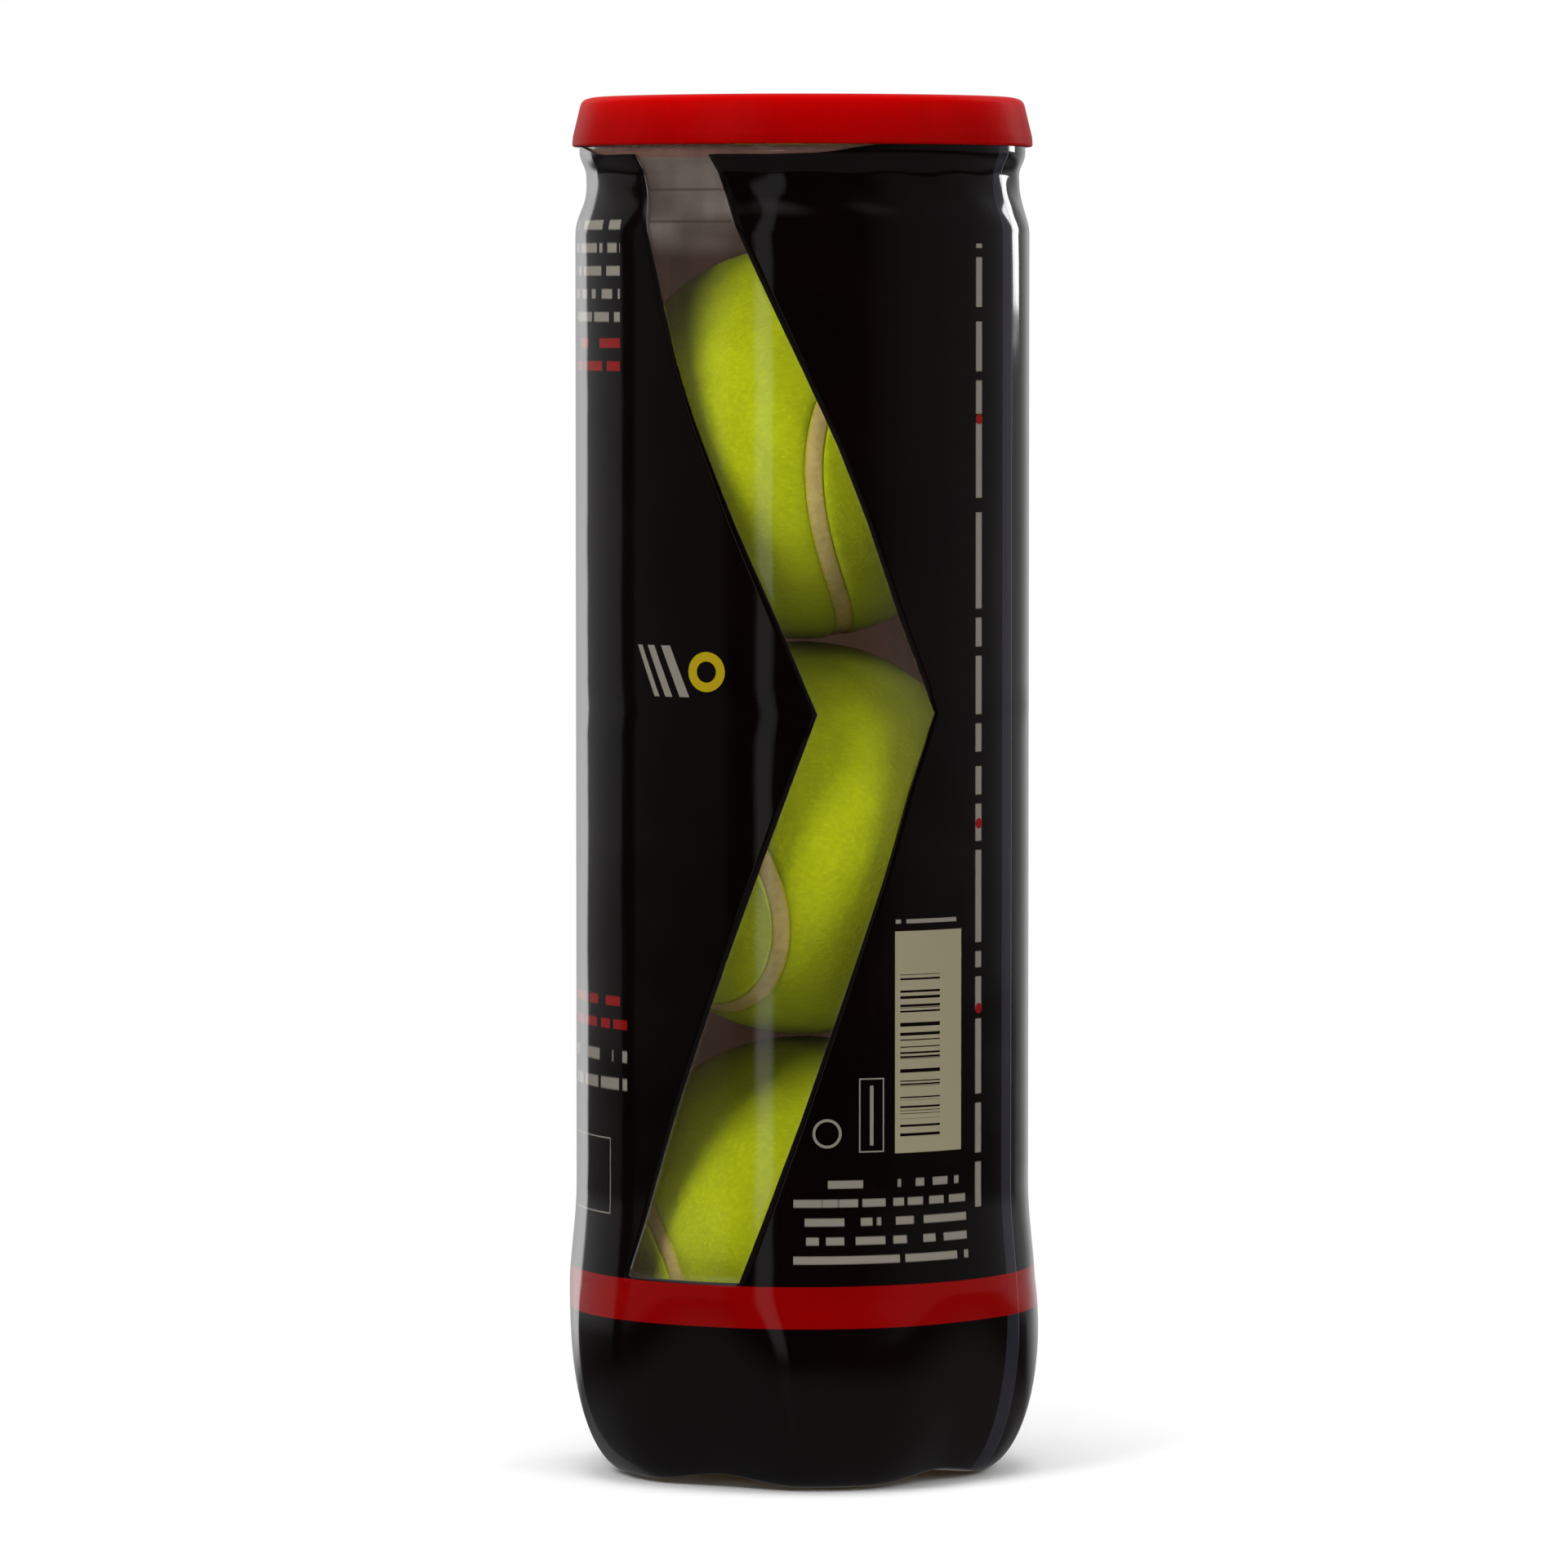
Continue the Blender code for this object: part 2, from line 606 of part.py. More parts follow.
def make_ball(name, finishes):
    """Two core halves, two felt panels and the seam rubber, carried by one empty at the ball's centre."""
    centre = bpy.data.objects.new(f"ball_{name}", None)
    bpy.context.collection.objects.link(centre)
    centre.matrix_world = ball_frame(name)
    edge = (0.5 * SEAM_WIDTH + GAP) / FELT_INNER_R
    swap = Matrix.Rotation(pi, 4, "X")
    panel_b = felt_panel(edge)
    bmesh.ops.transform(panel_b, matrix=swap, verts=panel_b.verts[:])
    pieces = (
        ("core_lower", core_half(-1), "core"), ("core_upper", core_half(1), "core"),
        ("felt_a", felt_panel(edge), "felt"), ("felt_b", panel_b, "felt"), ("seam", seam_band(), "seam"),
    )
    for piece, bm, finish in pieces:
        obj = add_object(f"ball_{name}_{piece}", bm, finishes[finish])
        obj.parent = centre


def make_balls():
    finishes = {
        "core": material("core_rubber", (0.05, 0.05, 0.05), 0.8),
        "felt": material("felt_yellow", (0.42, 0.48, 0.01), 0.95),
        "seam": material("seam_rubber", (0.36, 0.3, 0.15), 0.7),
    }
    for name in BALL_NAMES:
        make_ball(name, finishes)


def main():
    for obj in list(bpy.data.objects):
        bpy.data.objects.remove(obj, do_unlink=True)
    make_body()
    make_sleeve()
    make_end_ring()
    make_seam_compound()
    make_tear_panel()
    make_tab()
    make_tongue()
    make_overcap()
    make_balls()


main()
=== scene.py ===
import json
import math

import bmesh
import bpy
import numpy as np
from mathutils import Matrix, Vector

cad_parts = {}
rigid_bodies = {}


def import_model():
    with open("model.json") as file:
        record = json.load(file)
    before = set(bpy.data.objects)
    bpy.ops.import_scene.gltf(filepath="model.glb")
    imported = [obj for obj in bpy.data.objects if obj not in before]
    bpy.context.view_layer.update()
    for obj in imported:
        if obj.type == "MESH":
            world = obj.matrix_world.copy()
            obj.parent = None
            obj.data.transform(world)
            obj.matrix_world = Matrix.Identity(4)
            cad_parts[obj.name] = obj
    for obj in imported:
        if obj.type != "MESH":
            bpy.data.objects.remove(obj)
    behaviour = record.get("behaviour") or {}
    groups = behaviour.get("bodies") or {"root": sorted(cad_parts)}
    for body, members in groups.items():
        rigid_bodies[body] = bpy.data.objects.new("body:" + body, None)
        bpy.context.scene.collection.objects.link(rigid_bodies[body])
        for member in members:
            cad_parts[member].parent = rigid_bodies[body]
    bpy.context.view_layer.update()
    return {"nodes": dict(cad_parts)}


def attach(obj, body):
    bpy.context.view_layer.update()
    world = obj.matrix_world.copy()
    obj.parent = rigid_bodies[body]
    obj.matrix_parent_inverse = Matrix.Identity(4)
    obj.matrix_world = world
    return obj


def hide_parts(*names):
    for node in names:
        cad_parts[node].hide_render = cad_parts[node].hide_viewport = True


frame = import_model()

mm = 0.001
print("frame loaded:", len(frame["nodes"]), "nodes")


# shader maths: a socket that can be calculated with, each operator adds one Math node
class Wire:
    def __init__(self, tree, socket=None):
        self.tree = tree
        self.socket = socket

    def add(self, kind, settings=None, sockets=None, out=0):
        node = self.tree.nodes.new(kind)
        for key, value in (settings or {}).items():
            if key == "stops":
                self.setStops(node.color_ramp, value)
            else:
                setattr(node, key, value)
        for key, value in (sockets or {}).items():
            if isinstance(value, Wire):
                self.tree.links.new(value.socket, node.inputs[key])
            else:
                node.inputs[key].default_value = value
        return Wire(self.tree, node.outputs[out]) if len(node.outputs) else self

    def setStops(self, ramp, stops):
        while len(ramp.elements) < len(stops):
            ramp.elements.new(1.0)
        for element, (place, level) in zip(ramp.elements, stops):
            element.position = place
            element.color = (level, level, level, 1)

    def math(self, operation, *others):
        return self.add("ShaderNodeMath", {"operation": operation}, dict(enumerate((self, *others))))

    def reflected(self, operation, first):
        return self.add("ShaderNodeMath", {"operation": operation}, {0: first, 1: self})

    def __add__(self, other): return self.math("ADD", other)
    def __radd__(self, other): return self.reflected("ADD", other)
    def __sub__(self, other): return self.math("SUBTRACT", other)
    def __rsub__(self, other): return self.reflected("SUBTRACT", other)
    def __mul__(self, other): return self.math("MULTIPLY", other)
    def __rmul__(self, other): return self.reflected("MULTIPLY", other)
    def __truediv__(self, other): return self.math("DIVIDE", other)
    def __rtruediv__(self, other): return self.reflected("DIVIDE", other)
    def __pow__(self, other): return self.math("POWER", other)

    def rise(self, low, high):  # smooth step from 0 at low to 1 at high
        limits = {"Value": self, "From Min": low, "From Max": high}
        return self.add("ShaderNodeMapRange", {"interpolation_type": "SMOOTHSTEP"}, limits)

    def within(self, low, high, soft=0.04):  # 1 between low and high
        return self.rise(low - soft, low + soft) * (1 - self.rise(high - soft, high + soft))

    def mix(self, first, second):  # colour mix with this value as its factor
        return self.add("ShaderNodeMix", {"data_type": "RGBA"}, {0: self, 6: first, 7: second}, out=2)

    def parts(self):
        node = self.add("ShaderNodeSeparateXYZ", None, {0: self}).socket.node
        return [Wire(self.tree, output) for output in node.outputs]

    def joined(self, y, z):
        return self.add("ShaderNodeCombineXYZ", None, {0: self, 1: y, 2: z})

    def noise(self, scale, detail=2.0, roughness=0.5):
        sockets = {"Vector": self, "Scale": scale, "Detail": detail, "Roughness": roughness}
        return self.add("ShaderNodeTexNoise", None, sockets)

    def stretched(self, x, y, z):
        return self.add("ShaderNodeMapping", None, {"Vector": self, "Scale": (x, y, z)})

    def bump(self, strength, distance):
        return self.add("ShaderNodeBump", None, {"Height": self, "Strength": strength, "Distance": distance})


def newFinish(name):
    finish = bpy.data.materials.new(name)
    finish.use_nodes = True
    finish.node_tree.nodes.clear()
    start = Wire(finish.node_tree)
    return finish, start, start.add("ShaderNodeTexCoord", out="Object")


def closeFinish(start, shader):
    start.add("ShaderNodeOutputMaterial", None, {"Surface": shader})


# each cell of a grid becomes a quad; a wrapped direction joins its last line to its first
def gridFaces(rows, columns, wrapRows=False, wrapColumns=True):
    i = np.arange(rows if wrapRows else rows - 1)[:, None]
    j = np.arange(columns if wrapColumns else columns - 1)[None, :]
    up, right = (i + 1) % rows, (j + 1) % columns
    corners = (i * columns + j, i * columns + right, up * columns + right, up * columns + j)
    return np.stack(np.broadcast_arrays(*corners), axis=-1)


def stackShells(shells):  # several point and face lists as one
    points, faces, count = [], [], 0
    for shellPoints, shellFaces in shells:
        points.append(np.reshape(shellPoints, (-1, 3)))
        faces += [np.asarray(face) + count for face in shellFaces]
        count += len(points[-1])
    return np.vstack(points), faces


def newPiece(name, shells, finishes, body, nodes):
    points, faces = stackShells(shells)
    used, place = np.unique(np.concatenate(faces), return_inverse=True)
    ends = np.cumsum([len(f) for f in faces])[:-1]
    mesh = bpy.data.meshes.new(name)
    mesh.from_pydata(points[used].tolist(), [], [f.tolist() for f in np.split(place, ends)])
    mesh.polygons.foreach_set("use_smooth", np.ones(len(mesh.polygons), dtype=bool))
    for finish in finishes:
        mesh.materials.append(finish)
    piece = bpy.data.objects.new(name, mesh)
    bpy.context.collection.objects.link(piece)
    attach(piece, body)
    if nodes:
        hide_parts(*nodes)
    return piece


def thicken(piece, wall, inside=0):
    solid = piece.modifiers.new("wall", "SOLIDIFY")
    solid.thickness = wall
    solid.offset = -1
    solid.use_even_offset = True
    solid.material_offset = inside
    solid.material_offset_rim = 0


# a line with its corners p rounded: (1-t)^2 a + 2t(1-t) p + t^2 b, where a and b lie `reach` before and after p
def softCorners(points, reach, steps=5, closed=True):
    p = np.asarray(points, dtype=float)
    before, after = np.roll(p, 1, axis=0) - p, np.roll(p, -1, axis=0) - p
    backLength = np.linalg.norm(before, axis=1)
    aheadLength = np.linalg.norm(after, axis=1)
    cut = np.minimum(reach, 0.45 * np.minimum(backLength, aheadLength))
    a = p + before * (cut / backLength)[:, None]
    b = p + after * (cut / aheadLength)[:, None]
    t = np.linspace(0, 1, steps)[None, :, None]
    curve = (1 - t) ** 2 * a[:, None] + 2 * t * (1 - t) * p[:, None] + t ** 2 * b[:, None]
    if closed:
        return curve.reshape(-1, p.shape[1])
    return np.vstack([p[:1], curve[1:-1].reshape(-1, p.shape[1]), p[-1:]])


# a profile (r, z) turned round the Z axis: (r sin a, -r cos a, z); profile ends on the axis become poles
def turned(profile, steps=160, centre=(0, 0)):
    profile = np.asarray(profile, dtype=float)
    ring = profile[profile[:, 0] > 1e-7]
    a = np.linspace(0, 2 * math.pi, steps, endpoint=False)
    r, z = ring[:, :1], ring[:, 1:]
    points = np.stack(np.broadcast_arrays(r * np.sin(a) + centre[0], centre[1] - r * np.cos(a), z), axis=-1)
    closed = len(ring) == len(profile)
    faces = gridFaces(len(ring), steps, wrapRows=closed).reshape(-1, 4).tolist()
    points = points.reshape(-1, 3)
    if not closed:
        j = np.arange(steps)
        following = (j + 1) % steps
        first, last = len(points), len(points) + 1
        top = (len(ring) - 1) * steps
        poles = [[*centre, profile[0, 1]], [*centre, profile[-1, 1]]]
        points = np.vstack([points, poles])
        faces += np.stack([np.full(steps, first), following, j], axis=-1).tolist()
        faces += np.stack([np.full(steps, last), top + j, top + following], axis=-1).tolist()
    return points, faces


# smooth lumps: random heights on a lattice, blended between its corners by cubic steps
def lumps(points, size, seed):
    table = np.random.default_rng(seed).random((32, 32, 32)) * 2 - 1
    spot = points / size
    cell = np.floor(spot).astype(int)
    share = spot - cell
    share = share * share * (3 - 2 * share)
    total = np.zeros(points.shape[:-1])
    for corner in np.ndindex(2, 2, 2):
        weight = np.prod(np.where(np.array(corner), share, 1 - share), axis=-1)
        at = (cell + np.array(corner)) % 32
        total += weight * table[at[..., 0], at[..., 1], at[..., 2]]
    return total


def smoothStep(value, low, high):
    share = np.clip((value - low) / (high - low), 0, 1)
    return share * share * (3 - 2 * share)


canShape = {
    "wallRadius": 37.0, "wallFoot": 47.0, "shoulder": 201.5, "neckRadius": 35.2, "neckLow": 209.5,
    "neckHigh": 211.0, "filmTopRadius": 36.3, "filmTop": 214.8, "filmLow": 0.6, "filmWall": 0.25,
    "bulgeRadius": 38.2, "bulge": 28.0, "padInner": 21.5, "padOuter": 28.0, "feet": 5, "footTurn": 10.0,
    "footFlat": 9.0, "lobe": 1.45, "lobeTop": 31.0, "dimple": 5.2, "bowl": 36.0, "bowlReach": 66.0,
    "petWall": 0.5, "petInset": 0.55, "collarLow": 213.6, "collar": (215.0, 216.2, 217.4),
    "spigotRadius": 34.7, "spigotTop": 220.6,
}


def halfWave(low, high, share):
    return low + (high - low) * (0.5 - 0.5 * np.cos(math.pi * np.clip(share, 0, 1)))


# outer radius over height, in mm: base ellipse, half-wave flare, straight wall, half-wave shoulder and neck
def outsideRadius(z):
    s = canShape
    reach = s["bulgeRadius"] - s["padOuter"]
    base = s["padOuter"] + reach * np.sqrt(np.clip(1 - (1 - z / s["bulge"]) ** 2, 0, 1))
    flare = halfWave(s["bulgeRadius"], s["wallRadius"], (z - s["bulge"]) / (s["wallFoot"] - s["bulge"]))
    shoulder = halfWave(s["wallRadius"], s["neckRadius"], (z - s["shoulder"]) / (s["neckLow"] - s["shoulder"]))
    lip = halfWave(s["neckRadius"], s["filmTopRadius"], (z - s["neckHigh"]) / (s["filmTop"] - s["neckHigh"]))
    upper = np.where(z < s["neckHigh"], shoulder, lip)
    return np.where(z < s["bulge"], base, np.where(z < s["shoulder"], flare, upper))


# 1 on a foot and 0 midway between two feet, smooth in between; angles in degrees from the front
def footShare(angle):
    pitch = 360 / canShape["feet"]
    away = np.abs((angle - canShape["footTurn"] + pitch / 2) % pitch - pitch / 2)
    return smoothStep(pitch / 2 - away, 0, pitch / 2 - canShape["footFlat"])


def lobeHeight(z):  # how far a foot stands out and a hollow falls back, in mm
    return canShape["lobe"] * np.clip(1 - (z / canShape["lobeTop"]) ** 2, 0, 1)


def around(radius, angle, z):  # points in metres from mm and degrees
    turn = np.radians(angle)
    return np.stack(np.broadcast_arrays(radius * np.sin(turn), -radius * np.cos(turn), z), axis=-1) * mm


filmLook = {
    "black": (0.0012, 0.0004, 0.0004, 1), "red": (0.172, 0.0003, 0.0003, 1), "band": (26.8, 33.5),
    "ink": (0.155, 0.14, 0.117, 1), "redInk": (0.15, 0.003, 0.003, 1), "cream": (0.2, 0.18, 0.117, 1),
    "yellow": (0.26, 0.19, 0.004, 1), "lap": (39.0, 42.6), "lapTint": (0.012, 0.012, 0.017, 1),
    "inside": (0.5, 0.41, 0.38, 1), "paintedGlow": (0.05, 0.026, 0.018, 1), "roughness": 0.03,
}
printPlan = {  # places in mm: left and right round the film from the front, low and high up the can
    "dashes": (  # box, rows, seed
        ((-53.0, -33.9, 186.5, 205.0), 5, 1.0), ((-54.0, -32.2, 62.5, 71.5), 2, 4.0),
        ((-1.5, 29.2, 36.3, 51.4), 5, 9.0), ((15.3, 27.0, 91.0, 92.6), 1, 2.0),
    ),
    "column": ((45.0, 200.0, 30.5, 34.1), 1, 6.0, 3.4),  # one upright row: low, high, left, right
    "redDashes": (((-53.0, -33.9, 178.6, 186.0), 2, 3.0), ((-54.0, -32.2, 72.5, 80.0), 2, 8.0)),
    "ring": ((3.9, 58.0), 1.9, 2.35), "boxes": ((9.1, 13.3, 54.9, 66.8), (-54.6, -36.8, 43.4, 55.8)),
    "boxLine": (10.9, 11.5, 56.0, 65.6), "slantMiddle": 131.7, "slant": 0.45, "slantHigh": (127.6, 135.8),
    "slantBars": ((-27.6, -26.6), (-25.4, -24.0), (-22.6, -20.8)), "yellowRing": ((-15.9, 131.7), 1.7, 3.2),
    "dotColumn": 32.3, "dotRadius": 0.85, "dots": (171.9, 106.9, 77.1),
    "panel": (15.2, 28.1, 54.6, 90.2), "code": (16.1, 23.6, 57.0, 84.5),
}


def scaled(colour, share):  # an RGBA colour with its three channels scaled
    return tuple(share * c for c in colour[:3]) + (1,)


def boxMask(along, across, box):
    left, right, low, high = box
    return along.within(left, right) * across.within(low, high)


# rows of plain dashes: a band in every row, broken where a noise along the row is low
def dashRows(along, across, box, rows, seed, wordLength=2.2):
    low, high = box[2:]
    place = (across - low) * (rows / (high - low))
    row = place.math("FLOOR")
    words = (along * (1 / wordLength)).joined(row * 5.37 + seed, 0.0).noise(1.0, 0.0)
    line = place.math("FRACT").within(0.27, 0.68, 0.05)
    return boxMask(along, across, box) * line * words.rise(0.40, 0.43)


def outlineBox(along, across, box, line=0.22):
    left, right, low, high = box
    inner = (left + line, right - line, low + line, high - line)
    return boxMask(along, across, box) * (1 - boxMask(along, across, inner))


def ringMask(along, across, centre, inner, outer):
    away = ((along - centre[0]) ** 2.0 + (across - centre[1]) ** 2.0) ** 0.5
    return away.within(inner, outer)


def makePrintFinish():
    look, plan = filmLook, printPlan
    finish, start, coords = newFinish("filmPrint")
    x, y, z = coords.parts()
    along = x.math("ARCTAN2", 0 - y) * canShape["wallRadius"]  # mm round the film from the front
    up = z * 1000.0
    cloud = coords.noise(40.0, 3.0)
    black = cloud.rise(0.3, 0.75).mix(look["black"], scaled(look["black"], 1.9))
    lap = along.within(*look["lap"], 0.08)
    colour = lap.mix(black, look["lapTint"])
    colour = up.within(*look["band"], 0.06).mix(colour, cloud.mix(look["red"], scaled(look["red"], 0.86)))

    ink = dashRows(up, along, *plan["column"])
    for box, rows, seed in plan["dashes"]:
        ink = ink + dashRows(along, up, box, rows, seed)
    for box in plan["boxes"]:
        ink = ink + outlineBox(along, up, box)
    ink = ink + ringMask(along, up, *plan["ring"]) + boxMask(along, up, plan["boxLine"])
    slant = along + (up - plan["slantMiddle"]) * plan["slant"]
    first, second, third = (slant.within(*bar) for bar in plan["slantBars"])
    ink = ink + (first + second + third) * up.within(*plan["slantHigh"])
    colour = ink.math("MINIMUM", 1.0).mix(colour, look["ink"])

    redInk = ringMask(along, up, (plan["dotColumn"], plan["dots"][0]), -1.0, plan["dotRadius"])
    for height in plan["dots"][1:]:
        redInk = redInk + ringMask(along, up, (plan["dotColumn"], height), -1.0, plan["dotRadius"])
    for box, rows, seed in plan["redDashes"]:
        redInk = redInk + dashRows(along, up, box, rows, seed)
    colour = redInk.math("MINIMUM", 1.0).mix(colour, look["redInk"])
    colour = ringMask(along, up, *plan["yellowRing"]).mix(colour, look["yellow"])

    code = (up * 1.35).joined(0.0, 0.0).noise(1.0, 2.0)
    bars = boxMask(along, up, plan["code"]) * (1 - code.rise(0.46, 0.48))
    colour = boxMask(along, up, plan["panel"]).mix(colour, bars.mix(look["cream"], look["black"]))

    drawLines = coords.stretched(420, 420, 3).noise(1.0, 2.0)  # fine upright lines of the drawn film
    height = coords.noise(55.0, 1.0) + drawLines * 0.05 + lap * 0.25
    shader = start.add("ShaderNodeBsdfPrincipled", None, {
        "Base Color": colour, "Roughness": look["roughness"] + drawLines * 0.04 + cloud * 0.02,
        "Normal": height.bump(0.25, 0.0006), "IOR": 1.5,
    })
    closeFinish(start, shader)
    return finish


def makeInsideFinish():
    finish, start, coords = newFinish("filmInside")
    cloud = coords.noise(70.0, 4.0)
    streak = coords.stretched(300, 300, 12).noise(1.0, 2.0)
    inside, paintedGlow = filmLook["inside"], filmLook["paintedGlow"]
    patchy = (cloud * 0.6 + streak * 0.4).rise(0.35, 0.7)
    shader = start.add("ShaderNodeBsdfPrincipled", None, {
        "Base Color": patchy.mix(scaled(inside, 0.72), inside), "Roughness": 0.3 + cloud * 0.2,
        "Normal": streak.bump(0.2, 0.0004),
        "Emission Color": patchy.mix(scaled(paintedGlow, 0.6), paintedGlow), "Emission Strength": 1.0,  # painted glow: emission standing in for light that comes through the film from behind
    })
    closeFinish(start, shader)
    return finish


clearLook = {
    "film": {
        "tint": (0.995, 0.995, 0.99), "haze": 0.0006, "neckHaze": 0.01, "ringHaze": 0.0, "lines": (),
        "shine": 0.06, "roughness": 0.04, "wave": 0.0006,
    },
    "body": {
        "tint": (0.985, 0.99, 0.985), "haze": 0.0006, "neckHaze": 0.07, "ringHaze": 0.08,
        "lines": (203.5, 208.6), "shine": 0.03, "roughness": 0.05, "wave": 0.0004,
    },
    "neck": (197.0, 203.5), "ring": (213.6, 216.6),  # heights in mm
    "milk": (0.6, 0.51, 0.48, 1), "paleMilk": (0.74, 0.65, 0.62, 1), "ringMilk": (0.4, 0.21, 0.17, 1),
}


# clear plastic: what is behind shows, less a mirror share shine + 0.9 facing^5 and a thin even haze
def makeClearFinish(name, look):
    finish, start, coords = newFinish(name)
    cloud = coords.noise(90.0, 3.0)
    x, y, z = coords.parts()
    up = z * 1000.0
    patch = coords.stretched(60, 60, 110).noise(1.0, 1.0).rise(0.36, 0.62)
    neck = up.rise(*clearLook["neck"]) * (0.35 + patch * 0.65)  # thicker plastic, more clouded at the neck
    for height in look["lines"]:
        neck = neck * (1 - up.within(height - 0.2, height + 0.2, 0.15) * 0.7)
    ring = up.within(*clearLook["ring"], 0.3)
    haze = look["haze"] + neck * look["neckHaze"] + ring * look["ringHaze"]
    milkColour = ring.mix(cloud.mix(clearLook["milk"], clearLook["paleMilk"]), clearLook["ringMilk"])
    streak = coords.stretched(380, 380, 5).noise(1.0, 2.0)
    normal = (coords.noise(55.0, 1.0) + streak * 0.08).bump(0.25, look["wave"])
    facing = start.add("ShaderNodeLayerWeight", None, {"Blend": 0.5}, out="Facing")
    mirror = look["shine"] + facing ** 5.0 * 0.9
    through = start.add("ShaderNodeBsdfTransparent", None, {"Color": (*look["tint"], 1)})
    milk = start.add("ShaderNodeBsdfPrincipled", None, {
        "Base Color": milkColour, "Roughness": 0.5, "Specular IOR Level": 0.2,
    })
    veiled = start.add("ShaderNodeMixShader", None, {0: haze * (0.6 + streak * 0.8), 1: through, 2: milk})
    gloss = start.add("ShaderNodeBsdfGlossy", None, {"Roughness": look["roughness"], "Normal": normal})
    closeFinish(start, start.add("ShaderNodeMixShader", None, {0: mirror, 1: veiled, 2: gloss}))
    return finish


windowShape = {  # both edges of the window: heights in mm over angles in degrees from the front
    "leftHeights": (34, 60, 84, 108, 125, 140, 156, 172, 180, 188, 196, 208, 215.8),
    "left": (-47.8, -33.7, -20.1, -6.2, 3.6, -6.3, -17.6, -28.0, -32.5, -36.1, -39.5, -44.9, -48.2),
    "rightHeights": (34, 60, 84, 100, 112, 125, 140, 148, 156, 168, 180, 200, 208, 215.8),
    "right": (-15.6, -0.5, 12.6, 21.3, 27.0, 34.8, 24.9, 20.4, 16.0, 8.5, -0.2, -15.0, -20.5, -25.2),
    "low": 34, "point": 125, "paneColumns": 32, "restColumns": 176,
}
filmEdge = {  # in mm, with turns in degrees
    "topDrop": 0.6, "topLift": 1.75, "liftFrom": (2, 24), "liftTo": (272, 300),
    "topWave": 0.12, "topRipple": 0.07, "lastRow": 0.05,
    "low": 0.3, "lowLift": 1.75, "level": 12, "tuck": 0.6, "hollowTuck": 2.6, "tuckRise": 0.12,
    "pucker": 0.10, "finePucker": 0.07, "puckerFrom": (203, 208), "puckerTo": (212.5, 214.5),
}


def windowEdges(heights):  # angles of the left and right edge at each height, as columns
    w = windowShape
    return (np.interp(heights, w["leftHeights"], w["left"])[:, None],
            np.interp(heights, w["rightHeights"], w["right"])[:, None])


# top edge of the film over the angle, in mm: film top - drop + lift at the right and the back + sine waves
def filmTopEdge(angle):
    e = filmEdge
    turn = np.radians(angle)
    lift = smoothStep(angle % 360, *e["liftFrom"]) * (1 - smoothStep(angle % 360, *e["liftTo"]))
    waves = e["topWave"] * np.sin(5 * turn + 1) + e["topRipple"] * np.sin(13 * turn)
    return canShape["filmTop"] - e["topDrop"] + e["topLift"] * lift + waves


# film surface: rows of height, columns of angle; radius = outside radius + foot lobes. Low rows are moved
# so that the lower edge is down on the feet and up between them, and the first rows are tucked in there
def filmPoints(heights, angles):
    s, e = canShape, filmEdge
    share = footShare(angles)
    z = np.broadcast_to(heights[:, None], angles.shape)
    stretch = (filmTopEdge(angles) - s["neckHigh"]) / (s["filmTop"] - s["neckHigh"])
    z = np.where(z > s["neckHigh"], s["neckHigh"] + (z - s["neckHigh"]) * stretch, z)
    lowEdge = e["low"] + e["lowLift"] * (1 - share)
    squeeze = (e["level"] - lowEdge) / (e["level"] - s["filmLow"])
    z = np.where(z < e["level"], lowEdge + np.clip(z - s["filmLow"], 0, None) * squeeze, z)
    tuck = np.clip(s["filmLow"] - heights[:, None], 0, None) * (e["tuck"] + e["hollowTuck"] * (1 - share))
    z = z + e["tuckRise"] * tuck
    pucker = smoothStep(z, *e["puckerFrom"]) * (1 - smoothStep(z, *e["puckerTo"]))
    turn = np.radians(angles)
    waves = e["pucker"] * np.sin(9 * turn + 0.4) + e["finePucker"] * np.sin(17 * turn + 2 * z / 3)
    return around(outsideRadius(z) + lobeHeight(z) * (2 * share - 1) - tuck + pucker * waves, angles, z)


def filmHeights():  # rows of the film: tucked rows, base, wall, shoulder and neck, and a narrow last row
    s, w = canShape, windowShape
    start = math.acos(1 - s["filmLow"] / s["bulge"])
    rows = [np.array([s["filmLow"] - 1, s["filmLow"] - 0.5, s["filmLow"] - 0.2])]
    rows += [s["bulge"] * (1 - np.cos(np.linspace(start, math.pi / 2, 26)))]
    lastRow = s["filmTop"] - filmEdge["lastRow"]
    stops = (
        (s["bulge"], w["low"], 6), (w["low"], s["wallFoot"], 8), (s["wallFoot"], w["point"], 18),
        (w["point"], s["shoulder"], 18), (s["shoulder"], s["neckLow"], 12), (s["neckLow"], s["neckHigh"], 3),
        (s["neckHigh"], lastRow, 8), (lastRow, s["filmTop"], 1),
    )
    return np.concatenate(rows + [np.linspace(a, b, n + 1)[1:] for a, b, n in stops])


